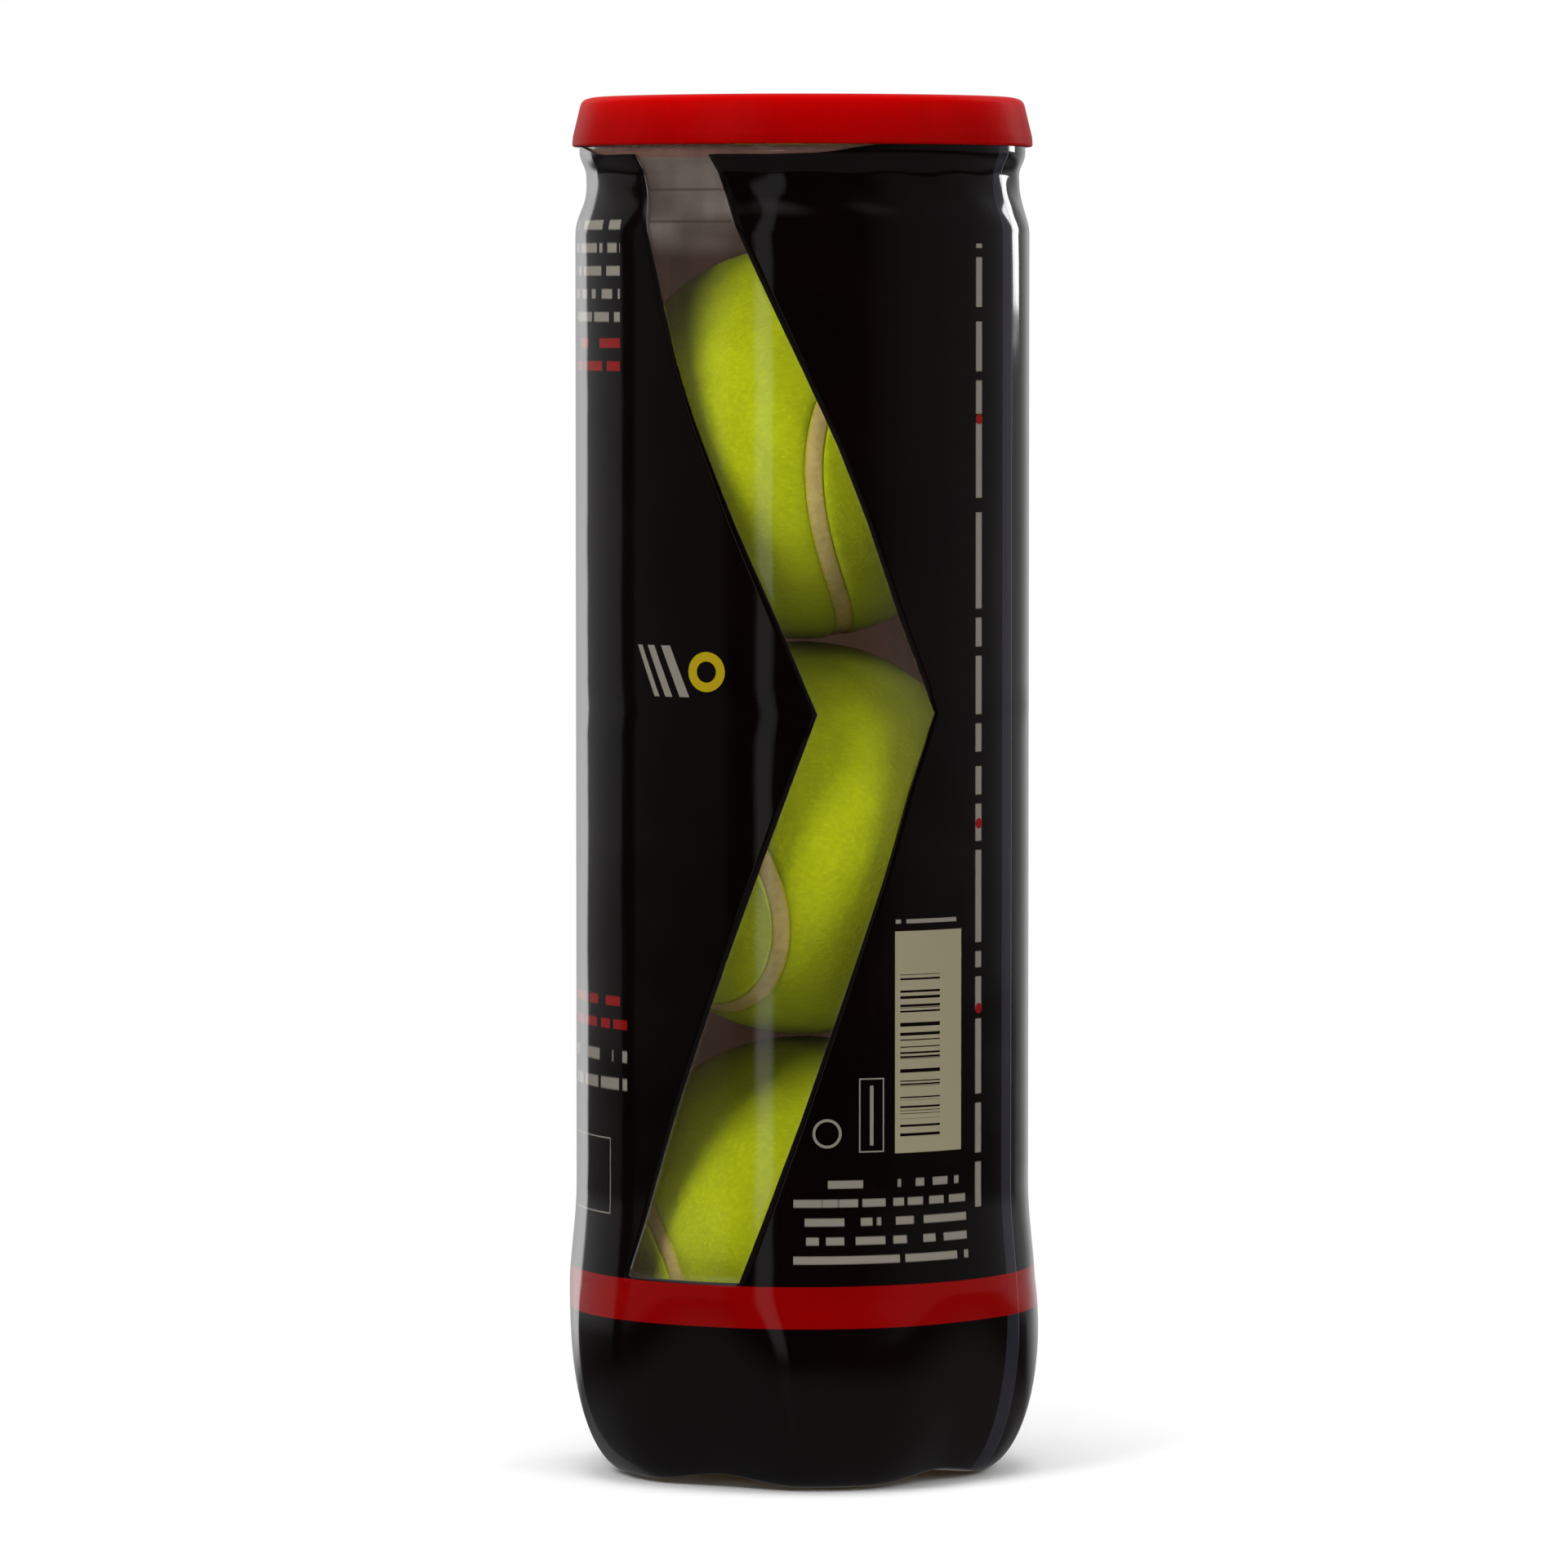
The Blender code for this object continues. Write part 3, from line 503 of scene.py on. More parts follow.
def makeFilm():
    w = windowShape
    heights = filmHeights()
    left, right = windowEdges(heights)
    paneShare = np.arange(w["paneColumns"]) / w["paneColumns"]
    restShare = np.arange(w["restColumns"]) / w["restColumns"]
    angles = np.hstack([left + (right - left) * paneShare, right + (left + 360 - right) * restShare])
    cells = gridFaces(len(heights), angles.shape[1])
    windowFoot = w["low"] - 0.1
    openCells = (heights[:-1, None] > windowFoot) & (np.arange(angles.shape[1])[None, :] < w["paneColumns"])
    finishes = [makePrintFinish(), makeInsideFinish()]
    sleeve = newPiece("film_print", [(filmPoints(heights, angles), cells[~openCells])], finishes, "can",
                      ["sleeve_print"])
    thicken(sleeve, canShape["filmWall"] * mm, inside=1)

    upper = heights[heights > windowFoot]
    upper[0] += 0.02
    share = np.linspace(0.0008, 0.9992, w["paneColumns"] + 1)
    low, high = windowEdges(upper)
    clear = makeClearFinish("filmClear", clearLook["film"])
    cells = gridFaces(len(upper), len(share), wrapColumns=False)
    pane = newPiece("film_window", [(filmPoints(upper, low + (high - low) * share), cells.reshape(-1, 4))],
                    [clear], "can", ["sleeve_window"])
    thicken(pane, canShape["filmWall"] * mm)
    print("film:", len(sleeve.data.polygons), "print faces and", len(pane.data.polygons), "window faces")


# base of the body: a foot section and a bowl section, blended round the axis by the foot share
def bodyBase(angles, rows):
    s = canShape
    q = np.linspace(-2, 10, 961)  # 0 at the pole, 3 to 5 on the pad, 5 to 10 up the outside
    turn = np.radians(16 * np.clip(q - 5, 0, None))
    z = s["bulge"] * (1 - np.cos(turn))
    r = s["padOuter"] + (s["bulgeRadius"] - s["padOuter"]) * np.sin(turn) + lobeHeight(z) - s["petInset"]
    marks = (-2, -1, 0, 1, 2, 3, 5)
    r = np.where(q < 5, np.interp(q, marks, (-14, -7, 0, 7, 14, s["padInner"], s["padOuter"] + 0.35)), r)
    z = np.where(q < 5, np.interp(q, marks, (3.9, 4.9, s["dimple"], 4.9, 3.9, 0, 0)), z)
    soft = np.ones(61) / 61
    r = np.where(q < 6, np.convolve(r, soft, "same"), r)
    z = np.where(q < 6, np.convolve(z, soft, "same"), z)
    at = np.linspace(0.2, 10, rows)
    footR, footZ = np.interp(at, q, r)[:, None], np.interp(at, q, z)[:, None]
    bend = np.radians(s["bowlReach"] * at / 10)[:, None]
    bowlR, bowlZ = s["bowl"] * np.sin(bend), s["dimple"] + s["bowl"] * (1 - np.cos(bend))
    share = footShare(angles)[None, :]
    return bowlR + (footR - bowlR) * share, bowlZ + (footZ - bowlZ) * share


# body: the base rows, then a profile of outside radius - inset, collar and spigot turned round the axis
def makeBody():
    s = canShape
    angles = np.linspace(0, 360, 220, endpoint=False)
    baseR, baseZ = bodyBase(angles, 64)
    stops = ((30, s["wallFoot"], 8), (s["wallFoot"], s["shoulder"], 8), (s["shoulder"], s["neckLow"], 10))
    rows = [np.linspace(a, b, n, endpoint=False) for a, b, n in stops]
    z = np.concatenate(rows + [np.linspace(s["neckLow"], s["collarLow"], 8)])
    ring, spigot = s["filmTopRadius"] - s["petInset"], s["spigotRadius"]
    line = np.column_stack([outsideRadius(z) - s["petInset"], z])
    collarFoot, collarTop, spigotFoot = s["collar"]
    corners = [line[-1], (ring, collarFoot), (ring, collarTop), (spigot, spigotFoot), (spigot, s["spigotTop"])]
    line = np.vstack([line, softCorners(corners, 0.4, 4, closed=False)[1:]])
    wall = around(line[:, :1], angles[None, :], line[:, 1:])
    points = np.vstack([around(baseR, angles[None, :], baseZ), wall])
    count = len(angles)
    faces = gridFaces(len(points), count).reshape(-1, 4).tolist()
    j = np.arange(count)
    pole = len(points) * count
    faces += np.stack([np.full(count, pole), (j + 1) % count, j], axis=-1).tolist()
    shell = np.vstack([points.reshape(-1, 3), [[0, 0, s["dimple"] * mm - 0.00002]]])
    clear = makeClearFinish("clearBody", clearLook["body"])
    body = newPiece("clear_body", [(shell, faces)], [clear], "can", ["can_body"])
    thicken(body, s["petWall"] * mm)
    print("body:", len(body.data.polygons), "faces")


capLook = {
    # red is the lit top and the darker red the painted shade at the low edge, also used for the mould's darker
    # mottle
    "red": (0.33, 0.0004, 0.0003, 1), "shadeAndMottleRed": (0.18, 0.0002, 0.0002, 1), "roughness": 0.24,
    "top": 223.8, "low": 215.8, "topRadius": 36.2, "lowRadius": 37.5, "recess": 0.6, "recessRadius": 33.2,
    "plate": 1.0, "plateRadius": 32.4, "skirtRadius": 36.7,
    "groove": ((32.4, 220.5), (33.2, 220.5), (33.2, 222.5), (35.55, 222.5)),  # takes the seam ring
    "grip": ((35.85, 222.2), (36.2, 218.7), (35.65, 217.8), (36.7, 216.9)),
    "crown": ((0.2, 0.85), (0.7, 0.35), (1.95, 0.0)),  # in from the top radius, down from the top
    "bead": ((27.6, 0.0), (27.3, 0.22), (26.3, 0.22), (26.0, 0.0)),  # on the sunk plate
    "gate": ((2.2, 0.0), (2.0, -0.3), (1.2, -0.3), (1.0, -0.05), (0, -0.05)),
}


def makeCapFinish():
    finish, start, coords = newFinish("capRed")
    cloud = coords.noise(60.0, 3.0)
    drag = coords.stretched(500, 500, 14).noise(1.0, 2.0)  # upright drag lines from the mould
    x, y, z = coords.parts()
    lift = (z * 1000.0).rise(capLook["low"], capLook["top"] + 1)  # painted light: brighter towards the thin top edge, darker towards the low edge
    worn = coords.stretched(30, 30, 60).noise(1.0, 2.0)
    # shade: painted light by height (darker low, brighter top) plus the mould's mottle and drag lines
    shade = lift * lift * 0.8 + (cloud * 0.5 + drag * 0.5 - 0.5) * (0.25 + worn * 0.5) + 0.15
    colour = shade.math("MAXIMUM", 0.0).math("MINIMUM", 1.0).mix(capLook["shadeAndMottleRed"], capLook["red"])
    grain = coords.noise(1800.0, 1.0)
    shader = start.add("ShaderNodeBsdfPrincipled", None, {
        "Base Color": colour, "Roughness": capLook["roughness"] + cloud * 0.12 + drag * 0.08,
        "Normal": (drag * 0.5 + grain * 0.2).bump(0.12, 0.0004), "Specular IOR Level": 0.008,
        "Subsurface Weight": 0.12, "Subsurface Radius": (0.004, 0.0006, 0.0004), "Subsurface Scale": 1.0,
    })
    closeFinish(start, shader)
    return finish


def makeCap():
    c = capLook
    sunk, top, low = c["top"] - c["recess"], c["top"], c["low"]
    line = [(0, sunk - c["plate"]), (c["plateRadius"], sunk - c["plate"]), *c["groove"], *c["grip"]]
    line += [(c["skirtRadius"], low), (c["lowRadius"] - 0.2, low), (c["lowRadius"], low + 0.3)]
    line += [(c["lowRadius"] - 0.1, low + 1.6), (c["topRadius"], top - 1.4)]
    line += [(c["topRadius"] - inward, top - down) for inward, down in c["crown"]]
    line += [(c["recessRadius"], top), (c["recessRadius"] - 0.6, sunk)]
    line += [(r, sunk + z) for r, z in (*c["bead"], *c["gate"])]
    profile = softCorners(line, 0.3, 6, closed=False) * mm
    cap = newPiece("cap_cover", [turned(profile, 200)], [makeCapFinish()], "cap", ["overcap"])
    print("cap:", len(cap.data.polygons), "faces")


metalLook = {
    "ring": {"colour": (0.74, 0.75, 0.76), "roughness": 0.2, "grain": (60, 60, 2600)},
    "panel": {"colour": (0.78, 0.79, 0.8), "roughness": 0.17, "grain": (14, 900, 900)},
    "tab": {"colour": (0.7, 0.71, 0.72), "roughness": 0.24, "grain": (700, 40, 700)},
    "tongue": {"colour": (0.66, 0.67, 0.68), "roughness": 0.28, "grain": (700, 40, 700)},
}


def makeMetalFinish(name):
    look = metalLook[name]
    finish, start, coords = newFinish(name + "Metal")
    grain = coords.stretched(*look["grain"]).noise(1.0, 3.0)  # rolling lines of the sheet
    cloud = coords.noise(120.0, 3.0)
    shader = start.add("ShaderNodeBsdfPrincipled", None, {
        "Base Color": grain.mix(scaled(look["colour"], 0.86), (*look["colour"], 1)), "Metallic": 1.0,
        "Roughness": look["roughness"] + grain * 0.14 + cloud * 0.06,
        "Normal": grain.bump(0.12, 0.0002),
    })
    closeFinish(start, shader)
    return finish


endShape = {  # profiles as radius and height in mm
    "ring": (  # double seam and countersunk wall, with the reach of each rounded corner
        (35.4, 218.8, 0.15), (35.4, 222.2, 0.8), (33.55, 222.2, 0.8), (33.55, 216.8, 0.5), (33.1, 216.8, 0.1),
        (33.1, 216.4, 0.1), (33.95, 216.4, 0.4), (33.95, 221.75, 0.3), (34.95, 221.75, 0.3),
        (34.95, 218.8, 0.1),
    ),
    "panelTop": 216.8, "panelLow": 216.4, "panelRadius": 32.8,
    "score": ((32.2, 0), (32.05, -0.14), (31.9, 0)),  # heights from the panel's top
    "bead": ((31.1, 0), (30.2, -0.6), (28.8, -0.6), (27.9, 0), (24.6, 0), (24.2, 0.18), (8.2, 0.18), (7.8, 0)),
    "rivetAt": 17.5, "rivet": (
        (0, 216.5), (1.6, 216.5), (1.6, 217.9), (2.9, 217.9), (2.9, 218.25), (2.3, 218.4), (1.2, 218.4),
        (0.9, 218.15), (0, 218.1),
    ),
}


def makeEnd():
    e = endShape
    ring = np.array(e["ring"])
    profile = softCorners(ring[:, :2], ring[:, 2], 7) * mm
    finish = makeMetalFinish("ring")
    seam = newPiece("seam_ring", [turned(profile, 200)], [finish], "can", ["end_ring"])

    top, low, edge = e["panelTop"], e["panelLow"], e["panelRadius"]
    under = [(r, low + z) for r, z in reversed(e["bead"])]
    over = [(r, top + z) for r, z in (*e["score"], *e["bead"])]
    line = [(0, low), *under, (e["score"][-1][0], low), (edge, low), (edge, top), *over, (0, top)]
    profile = softCorners(line, 0.35, 5, closed=False) * mm
    button = softCorners(e["rivet"], 0.3, 5, closed=False) * mm
    shells = [turned(profile, 200), turned(button, 48, (0, e["rivetAt"] * mm))]
    finish = makeMetalFinish("panel")
    panel = newPiece("tear_off_panel", shells, [finish], "end_panel", ["tear_panel"])
    print("end:", len(seam.data.polygons) + len(panel.data.polygons), "faces")


# flat outlines, the first one outside and the others holes, pulled to a plate with rounded edges
def plateShell(outlines, middle, half, edge):
    curve = bpy.data.curves.new("plate", "CURVE")
    curve.dimensions, curve.fill_mode = "2D", "BOTH"
    curve.extrude, curve.bevel_depth, curve.bevel_resolution, curve.offset = half - edge, edge, 2, -edge
    for outline in outlines:
        spline = curve.splines.new("POLY")
        spline.points.add(len(outline) - 1)
        places = np.column_stack([outline, np.zeros(len(outline)), np.ones(len(outline))])
        spline.points.foreach_set("co", places.ravel())
        spline.use_cyclic_u = True
    holder = bpy.data.objects.new("plate", curve)
    bpy.context.collection.objects.link(holder)
    flat = bpy.data.meshes.new_from_object(holder.evaluated_get(bpy.context.evaluated_depsgraph_get()))
    bpy.data.objects.remove(holder)
    work = bmesh.new()
    work.from_mesh(flat)
    bmesh.ops.remove_doubles(work, verts=work.verts[:], dist=1e-6)
    bmesh.ops.recalc_face_normals(work, faces=work.faces[:])
    work.to_mesh(flat)
    work.free()
    points = np.empty(len(flat.vertices) * 3)
    flat.vertices.foreach_get("co", points)
    points = points.reshape(-1, 3) + (0, 0, middle)
    return points, [list(face.vertices) for face in flat.polygons]


# round wire along a closed flat path: path + normal r cos b, height + r sin b
def curlShell(path, middle, radius, steps=14):
    ahead = np.roll(path, -1, axis=0) - np.roll(path, 1, axis=0)
    ahead /= np.linalg.norm(ahead, axis=1)[:, None]
    side = np.column_stack([ahead[:, 1], -ahead[:, 0]])
    b = np.linspace(0, 2 * math.pi, steps, endpoint=False)
    flat = path[:, None, :] + side[:, None, :] * (radius * np.cos(b))[None, :, None]
    height = np.broadcast_to(middle + radius * np.sin(b), flat.shape[:2])
    points = np.concatenate([flat, height[..., None]], axis=-1)
    return points, gridFaces(len(path), steps, wrapRows=True).reshape(-1, 4)


tabShape = {  # boxes as half width, low and high end
    "low": 217.1, "high": 218.4, "nose": 30.2, "tail": -3.5, "half": 10.5, "noseHalf": 8.0, "taper": 13.5,
    "curl": 0.64, "web": 0.24, "webEdge": 0.08, "hole": (8.0, -1.0, 10.6), "slot": (3.9, 13.1, 21.9),
    "tongue": (3.5, 13.5, 21.5), "tongueMiddle": 217.35, "tongueHalf": 0.25, "tongueEdge": 0.1, "eye": 1.9,
}


def boxOutline(half, low, high, reach, steps):
    return softCorners([(-half, low), (half, low), (half, high), (-half, high)], reach, steps) * mm


def makeTab():
    t = tabShape
    middle = 0.5 * (t["low"] + t["high"]) * mm
    half, nose, rim = t["half"], t["noseHalf"], t["curl"]
    corners = np.array([
        (-half, t["tail"]), (half, t["tail"]), (half, t["taper"]),
        (nose, t["nose"]), (-nose, t["nose"]), (-half, t["taper"]),
    ])
    shift = np.array([(0, rim), (0, rim), (0, 0), (0, -rim), (0, -rim), (0, 0)])
    outer = softCorners(corners * np.array([(half - rim) / half, 1]) + shift, 6.6, 12) * mm
    holeHalf, holeLow, holeHigh = t["hole"]
    hole = boxOutline(holeHalf + rim, holeLow - rim, holeHigh + rim, 5.2, 10)
    slotEdge = boxOutline(*t["slot"], 1.6, 6)
    shells = [
        plateShell([outer, hole, slotEdge], middle, t["web"] * mm, t["webEdge"] * mm),
        curlShell(outer, middle, rim * mm), curlShell(hole, middle, rim * mm),
    ]
    finish = makeMetalFinish("tab")
    tab = newPiece("ring_pull", shells, [finish], "tab", ["pull_tab"])

    turn = np.linspace(0, 2 * math.pi, 32, endpoint=False)
    eye = np.column_stack([t["eye"] * np.cos(turn), endShape["rivetAt"] + t["eye"] * np.sin(turn)]) * mm
    outlines = [boxOutline(*t["tongue"], 1.3, 6), eye]
    plate = plateShell(outlines, t["tongueMiddle"] * mm, t["tongueHalf"] * mm, t["tongueEdge"] * mm)
    finish = makeMetalFinish("tongue")
    tongue = newPiece("rivet_tongue", [plate], [finish], "end_panel", ["tab_tongue"])
    print("tab:", len(tab.data.polygons) + len(tongue.data.polygons), "faces")


ballShape = {
    "radius": 32.2, "inner": 29.75, "lowest": 38.4, "pitch": 64.7, "seamHalf": 1.5, "seamRadius": 31.85,
    "seamCrown": 0.15, "feltGap": 0.07, "feltSink": 0.1, "edgeDrop": 0.4, "edgeReach": 1.3, "nap": 0.1,
    "ribs": 150, "across": 44, "swing": 0.18,
    "turns": {"bottom": (5.3, -3, 20), "middle": (15.1, -145.3, 74.4), "top": (39, -29.5, -15.6)},
}
feltLook = {
    "felt": (0.54, 0.61, 0.001, 1), "shade": (0.44, 0.5, 0.0008, 1), "tip": (0.62, 0.7, 0.003, 1),
    "seam": (0.74, 0.56, 0.2, 1), "seamDark": (0.58, 0.44, 0.15, 1), "seamEdge": (0.56, 0.48, 0.012, 1),
}


# seam curve on the unit ball: (w cos t + s cos 3t, w sin t - s sin 3t, 2 root(w s) sin 2t) with w = 1 - s
def seamPoint(t):
    s = ballShape["swing"]
    w = 1 - s
    x = w * np.cos(t) + s * np.cos(3 * t)
    y = w * np.sin(t) - s * np.sin(3 * t)
    return np.stack([x, y, 2 * math.sqrt(w * s) * np.sin(2 * t)], axis=-1)


def unit(vectors):
    return vectors / np.linalg.norm(vectors, axis=-1, keepdims=True)


def seamSide(t, offset):  # direction beside the seam, at a signed angle across it
    here = seamPoint(t)
    along = seamPoint(t + 0.001) - seamPoint(t - 0.001)
    across = unit(np.cross(here, along))
    return unit(here * np.cos(offset) + across * np.sin(offset))


def rotation(axis, degrees):
    c, s = math.cos(math.radians(degrees)), math.sin(math.radians(degrees))
    if axis == "x":
        return np.array([[1, 0, 0], [0, c, -s], [0, s, c]])
    return np.array([[c, -s, 0], [s, c, 0], [0, 0, 1]])


def ballPlace(name):  # turning matrix and centre of a ball, in mm
    tilt, bearing, roll = ballShape["turns"][name]
    level = ("bottom", "middle", "top").index(name)
    turn = rotation("z", bearing) @ rotation("x", 90 - tilt) @ rotation("z", roll - 45)
    return turn, np.array([0, 0, ballShape["lowest"] + level * ballShape["pitch"]])


# felt panel: ribs t along the seam, each a great arc from one seam edge to the other; the outside falls
# towards the edges by drop (1 - d/reach)^2 and carries the nap, and the arc returns on the inner radius
def feltShell(seed, swap):
    b = ballShape
    edge = (b["seamHalf"] + b["feltGap"]) / b["radius"]
    t = np.linspace(-math.pi / 4, 3 * math.pi / 4, b["ribs"] + 1)
    side = seamSide(t, edge)
    mirror = np.stack([-side[:, 1], -side[:, 0], side[:, 2]], axis=-1)
    spread = np.maximum(np.arccos(np.clip((side * mirror).sum(1), -1, 1)), 1e-4)[:, None]
    out = 0.5 - 0.5 * np.cos(math.pi * np.linspace(0, 1, b["across"] + 1))
    share = np.concatenate([out, np.linspace(1, 0, 8)])[None, :]
    weightA, weightB = np.sin((1 - share) * spread), np.sin(share * spread)
    way = unit(side[:, None] * weightA[..., None] + mirror[:, None] * weightB[..., None])
    gap = np.minimum(share, 1 - share) * spread * b["radius"]
    fall = b["edgeDrop"] * np.clip(1 - gap / b["edgeReach"], 0, 1) ** 2
    rough = lumps(way * b["radius"], 1.1, seed) * 0.55 + lumps(way * b["radius"], 4.0, seed + 1) * 0.6
    isOut = np.arange(share.shape[1])[None, :] <= b["across"]
    radius = np.where(isOut, b["radius"] - b["feltSink"] - fall + b["nap"] * rough, b["inner"])
    points = way * radius[..., None]
    if swap:
        points = points * np.array([1, -1, -1])
    return points, gridFaces(points.shape[0], points.shape[1])


# seam rubber: a crowned strip, radius falling with the square of the offset, carried round the seam curve
def seamShell():
    b = ballShape
    t = np.linspace(0, 2 * math.pi, 320, endpoint=False)
    half = b["seamHalf"] / b["radius"]
    offset = np.concatenate([np.linspace(half, -half, 9), np.linspace(-half, half, 4)])
    crown = b["seamRadius"] - b["seamCrown"] * np.linspace(1, -1, 9) ** 2
    radius = np.concatenate([crown, np.full(4, b["inner"])])
    way = seamSide(t[:, None] + 0 * offset[None, :], offset[None, :, None])
    across = np.broadcast_to(np.abs(offset) / half, way.shape[:2])  # 0 on the middle line, 1 at the edges
    return way * radius[None, :, None], gridFaces(len(t), len(offset), wrapRows=True), across


def makeFeltFinish():
    finish, start, coords = newFinish("feltYellow")
    cloud = coords.noise(160.0, 4.0, 0.6)
    fibre = coords.noise(1500.0, 3.0, 0.7)
    twist = coords.stretched(900, 2600, 1300).noise(1.0, 3.0, 0.65)
    colour = (cloud * 0.5 + twist * 0.5).rise(0.34, 0.66).mix(feltLook["shade"], feltLook["felt"])
    colour = (fibre * 0.6 + twist * 0.4).rise(0.52, 0.75).mix(colour, feltLook["tip"])
    shader = start.add("ShaderNodeBsdfPrincipled", None, {
        "Base Color": colour, "Roughness": 0.85 + fibre * 0.15, "Specular IOR Level": 0.15,
        "Normal": (fibre * 0.6 + twist * 0.6 + cloud * 0.5).bump(0.45, 0.0005),
        "Sheen Weight": 0.25, "Sheen Roughness": 0.6, "Sheen Tint": (0.9, 1.0, 0.3, 1),
    })
    closeFinish(start, shader)
    return finish


def makeSeamFinish():
    finish, start, coords = newFinish("seamRubber")
    cloud = coords.noise(500.0, 4.0, 0.6)
    across = start.add("ShaderNodeAttribute", {"attribute_name": "across"}, out="Fac")
    fibre = coords.noise(1400.0, 2.0, 0.6)
    colour = cloud.rise(0.3, 0.7).mix(feltLook["seamDark"], feltLook["seam"])
    overlap = (across + (fibre - 0.5) * 0.9).rise(0.5, 1.05)  # felt fibres lie over the edges
    colour = overlap.mix(colour, feltLook["seamEdge"])
    shader = start.add("ShaderNodeBsdfPrincipled", None, {
        "Base Color": colour, "Roughness": 0.6 + cloud * 0.3, "Normal": cloud.bump(0.4, 0.0003),
    })
    closeFinish(start, shader)
    return finish


def closeTips(piece):  # the ribs shrink to points at the panel's tips: merge them and turn all faces out
    work = bmesh.new()
    work.from_mesh(piece.data)
    bmesh.ops.remove_doubles(work, verts=work.verts[:], dist=2e-5)
    bmesh.ops.recalc_face_normals(work, faces=work.faces[:])
    work.to_mesh(piece.data)
    work.free()
    piece.data.polygons.foreach_set("use_smooth", np.ones(len(piece.data.polygons), dtype=bool))


def makeBalls():
    felt, rubber = makeFeltFinish(), makeSeamFinish()
    for level, name in enumerate(ballShape["turns"]):
        turn, centre = ballPlace(name)
        body = "ball_" + name
        for letter, swap in (("a", False), ("b", True)):
            points, cells = feltShell(10 * level + 3 * swap, swap)
            shell = ((points @ turn.T + centre) * mm, cells.reshape(-1, 4))
            node = f"{body}_felt_{letter}"
            closeTips(newPiece(f"felt_{name}_{letter}", [shell], [felt], body, [node]))
        points, cells, across = seamShell()
        shell = ((points @ turn.T + centre) * mm, cells.reshape(-1, 4))
        band = newPiece(f"seam_{name}", [shell], [rubber], body, [f"{body}_seam"])
        band.data.attributes.new("across", "FLOAT", "POINT").data.foreach_set("value", across.ravel())
        closeTips(band)
        print("ball", name, "made")


hiddenLook = {"core": (0.05, 0.047, 0.044), "compound": (0.42, 0.4, 0.37)}


def makeHiddenFinish(name):  # mottled rubber for the pieces inside
    finish, start, coords = newFinish(name + "Rubber")
    cloud = coords.noise(240.0, 4.0, 0.6)
    base = hiddenLook[name]
    colour = cloud.mix(scaled(base, 0.7), scaled(base, 1.25))
    shader = start.add("ShaderNodeBsdfPrincipled", None, {
        "Base Color": colour, "Roughness": 0.6 + cloud * 0.3, "Normal": cloud.bump(0.3, 0.0003),
    })
    closeFinish(start, shader)
    return finish


def dressHidden():
    core, compound = makeHiddenFinish("core"), makeHiddenFinish("compound")
    for name, node in frame["nodes"].items():
        if "core" in name or name == "seam_compound":
            node.material_slots[0].material = compound if name == "seam_compound" else core


studio = {
    "floorRadius": 0.45, "floorSolid": 0.08, "floorFade": 0.26, "floorColour": (0.66, 0.66, 0.66, 1),
    "floorLevel": -0.0002, "floorRings": 24, "floorTurns": 96,
    "lights": {
        "key": {"at": (-0.24, -0.3, 0.36), "size": (0.2, 0.2), "power": 1.65, "mirrored": False},
        "fill": {"at": (0.35, -0.35, 0.2), "size": (0.25, 0.25), "power": 0.9, "mirrored": False},
        "right": {"at": (0.4, -0.12, 0.29), "size": (0.2, 0.2), "power": 0.75, "mirrored": False},
        "left": {"at": (-0.42, 0.03, 0.29), "size": (0.2, 0.2), "power": 0.35, "mirrored": False},
        "soft": {"at": (-1.1, -0.95, 0.5), "size": (0.7, 0.7), "power": 2.0, "mirrored": False},
        "top": {"at": (0.0, -0.15, 1.5), "size": (0.7, 0.7), "power": 14.0, "mirrored": False},
        "edge": {"at": (0.82, 0.9, 0.66), "size": (0.2, 1.05), "power": 3.6, "mirrored": True},
    },
    "brightest": 4.0,
    "skirting": (  # mirrored room: turn from the back over the left to the back, and share of the brightest
        (0.0, 0.12), (0.03, 0.16), (0.055, 0.24), (0.104, 0.52), (0.107, 0.075), (0.206, 0.05), (0.212, 0.005),
        (0.233, 0.005), (0.24, 0.021), (0.385, 0.016), (0.402, 0.0015), (0.432, 0.0015), (0.436, 0.085),
        (0.456, 0.085), (0.46, 0.0015), (0.58, 0.0015), (0.65, 0.022), (0.8, 0.03), (0.885, 0.06),
        (0.905, 0.07), (0.95, 0.17), (1.0, 0.12),
    ),
}


# floor disc: rings of points, solid round the can and fading out to the white room
def makeFloor():
    s = studio
    level = s["floorLevel"]
    radii = np.linspace(0.0, s["floorRadius"], s["floorRings"] + 1)[1:, None]
    turn = np.linspace(0, 2 * math.pi, s["floorTurns"], endpoint=False)[None, :]
    points = np.stack(np.broadcast_arrays(radii * np.cos(turn), radii * np.sin(turn), level), axis=-1)
    faces = gridFaces(len(radii), turn.shape[1]).reshape(-1, 4)[:, ::-1].tolist()
    j = np.arange(turn.shape[1])
    faces += np.stack([np.full(len(j), points.shape[0] * len(j)), j, (j + 1) % len(j)], axis=-1).tolist()
    mesh = bpy.data.meshes.new("floor")
    mesh.from_pydata(points.reshape(-1, 3).tolist() + [[0, 0, level]], [], faces)
    finish, start, coords = newFinish("floorPale")
    x, y, z = coords.parts()
    away = (x ** 2.0 + y ** 2.0) ** 0.5
    grain = coords.noise(300.0, 3.0)
    colour = grain.mix(scaled(s["floorColour"], 0.985), s["floorColour"])
    pale = start.add("ShaderNodeBsdfPrincipled", None, {
        "Base Color": colour, "Roughness": 0.8, "Specular IOR Level": 0.1,
    })
    clear = start.add("ShaderNodeBsdfTransparent")
    fade = away.rise(s["floorSolid"], s["floorFade"])
    closeFinish(start, start.add("ShaderNodeMixShader", None, {0: fade, 1: pale, 2: clear}))
    mesh.materials.append(finish)
    floor = bpy.data.objects.new("floor", mesh)
    bpy.context.collection.objects.link(floor)
    floor.visible_glossy = False


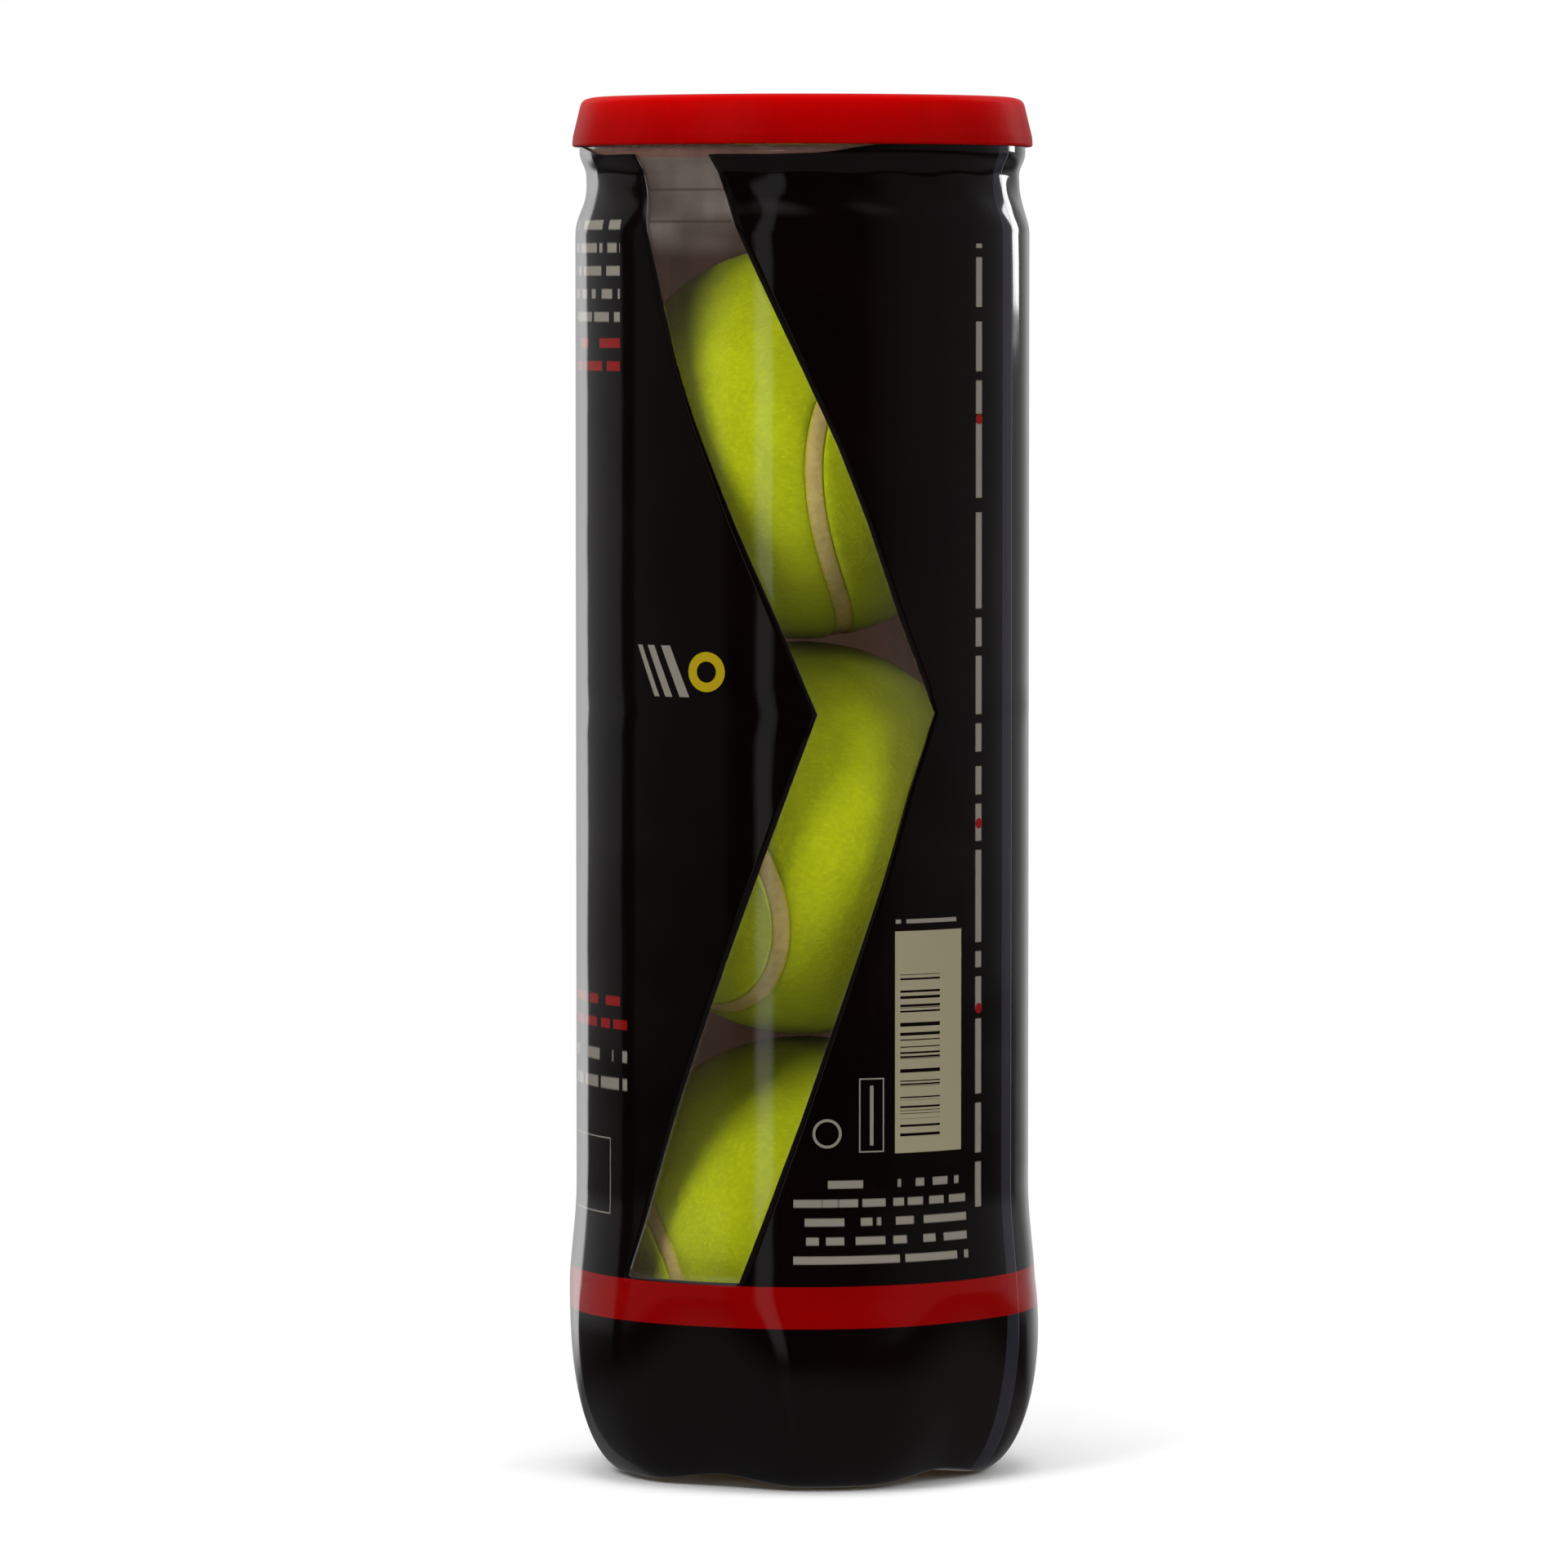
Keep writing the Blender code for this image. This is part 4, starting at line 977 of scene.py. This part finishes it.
# the room: white where it is seen directly or through clear plastic, and in mirrors a white wall behind,
# grey sides, a dim front and a bright ceiling
def makeRoom():
    world = bpy.data.worlds.new("room")
    bpy.context.scene.world = world
    world.use_nodes = True
    world.node_tree.nodes.clear()
    start = Wire(world.node_tree)
    seen = start.add("ShaderNodeLightPath", out="Is Camera Ray")
    through = Wire(seen.tree, seen.socket.node.outputs["Is Transmission Ray"])
    mirrored = Wire(seen.tree, seen.socket.node.outputs["Is Glossy Ray"])
    x, y, z = start.add("ShaderNodeTexCoord", out="Generated").parts()
    bearing = x.math("ARCTAN2", 0 - y) / (2 * math.pi) + 0.5
    skirting = start.add("ShaderNodeValToRGB", {"stops": studio["skirting"]}, {"Fac": bearing})
    wall = skirting * studio["brightest"]
    sides = bearing.within(0.107, 0.4, 0.001) + bearing.within(0.6, 0.89, 0.01)
    wall = wall * (1 - sides * 0.75 * (0 - z).rise(0.05, 0.11))  # the sides darken towards the floor
    wall = wall * (1 - 0.93 * (0 - z).rise(0.09, 0.22))  # and so does all of the wall, lower down
    ceiling = z.rise(0.55, 0.9)
    below = (0 - z).rise(0.4, 0.8)
    mirrorLevel = wall * (1 - ceiling) * (1 - below) + ceiling * 0.9 + (0 - z).rise(0.12, 0.35) * 0.1
    softLevel = 0.2 + ceiling * 0.45 + y.rise(-0.1, 0.6) * 0.8  # the backdrop lights the back and sides
    white = seen.math("MAXIMUM", through)
    level = white + (1 - white) * (mirrored * mirrorLevel + (1 - mirrored) * softLevel)
    sky = start.add("ShaderNodeBackground", None, {"Color": (1, 1, 1, 1), "Strength": level})
    start.add("ShaderNodeOutputWorld", None, {"Surface": sky})


def makeLights():
    aim = Vector((0, 0, 0.11))
    for name, light in studio["lights"].items():
        lamp = bpy.data.lights.new(name, "AREA")
        lamp.shape = "RECTANGLE"
        lamp.size, lamp.size_y = light["size"]
        lamp.energy = light["power"]
        holder = bpy.data.objects.new(name, lamp)
        holder.location = light["at"]
        holder.rotation_euler = (aim - Vector(light["at"])).to_track_quat("-Z", "Y").to_euler()
        holder.visible_camera = False
        holder.visible_glossy = light["mirrored"]
        bpy.context.collection.objects.link(holder)


photoCamera = {"at": (-0.003, -1.45, 0.1939), "aim": (-0.003, 0, 0.1119), "lens": 203.9}


def makeCamera():
    lens = bpy.data.cameras.new("camera")
    lens.lens = photoCamera["lens"]
    lens.sensor_width = 36
    lens.clip_end = 20
    camera = bpy.data.objects.new("camera", lens)
    at, aim = Vector(photoCamera["at"]), Vector(photoCamera["aim"])
    camera.location = at
    camera.rotation_euler = (aim - at).to_track_quat("-Z", "Y").to_euler()
    bpy.context.collection.objects.link(camera)
    bpy.context.scene.camera = camera


makeCamera()
makeRoom()
makeLights()
makeFloor()
print("stage ready")
makeBody()
makeFilm()
makeEnd()
makeTab()
makeCap()
makeBalls()
dressHidden()
bpy.context.scene.view_settings.view_transform = "Standard"
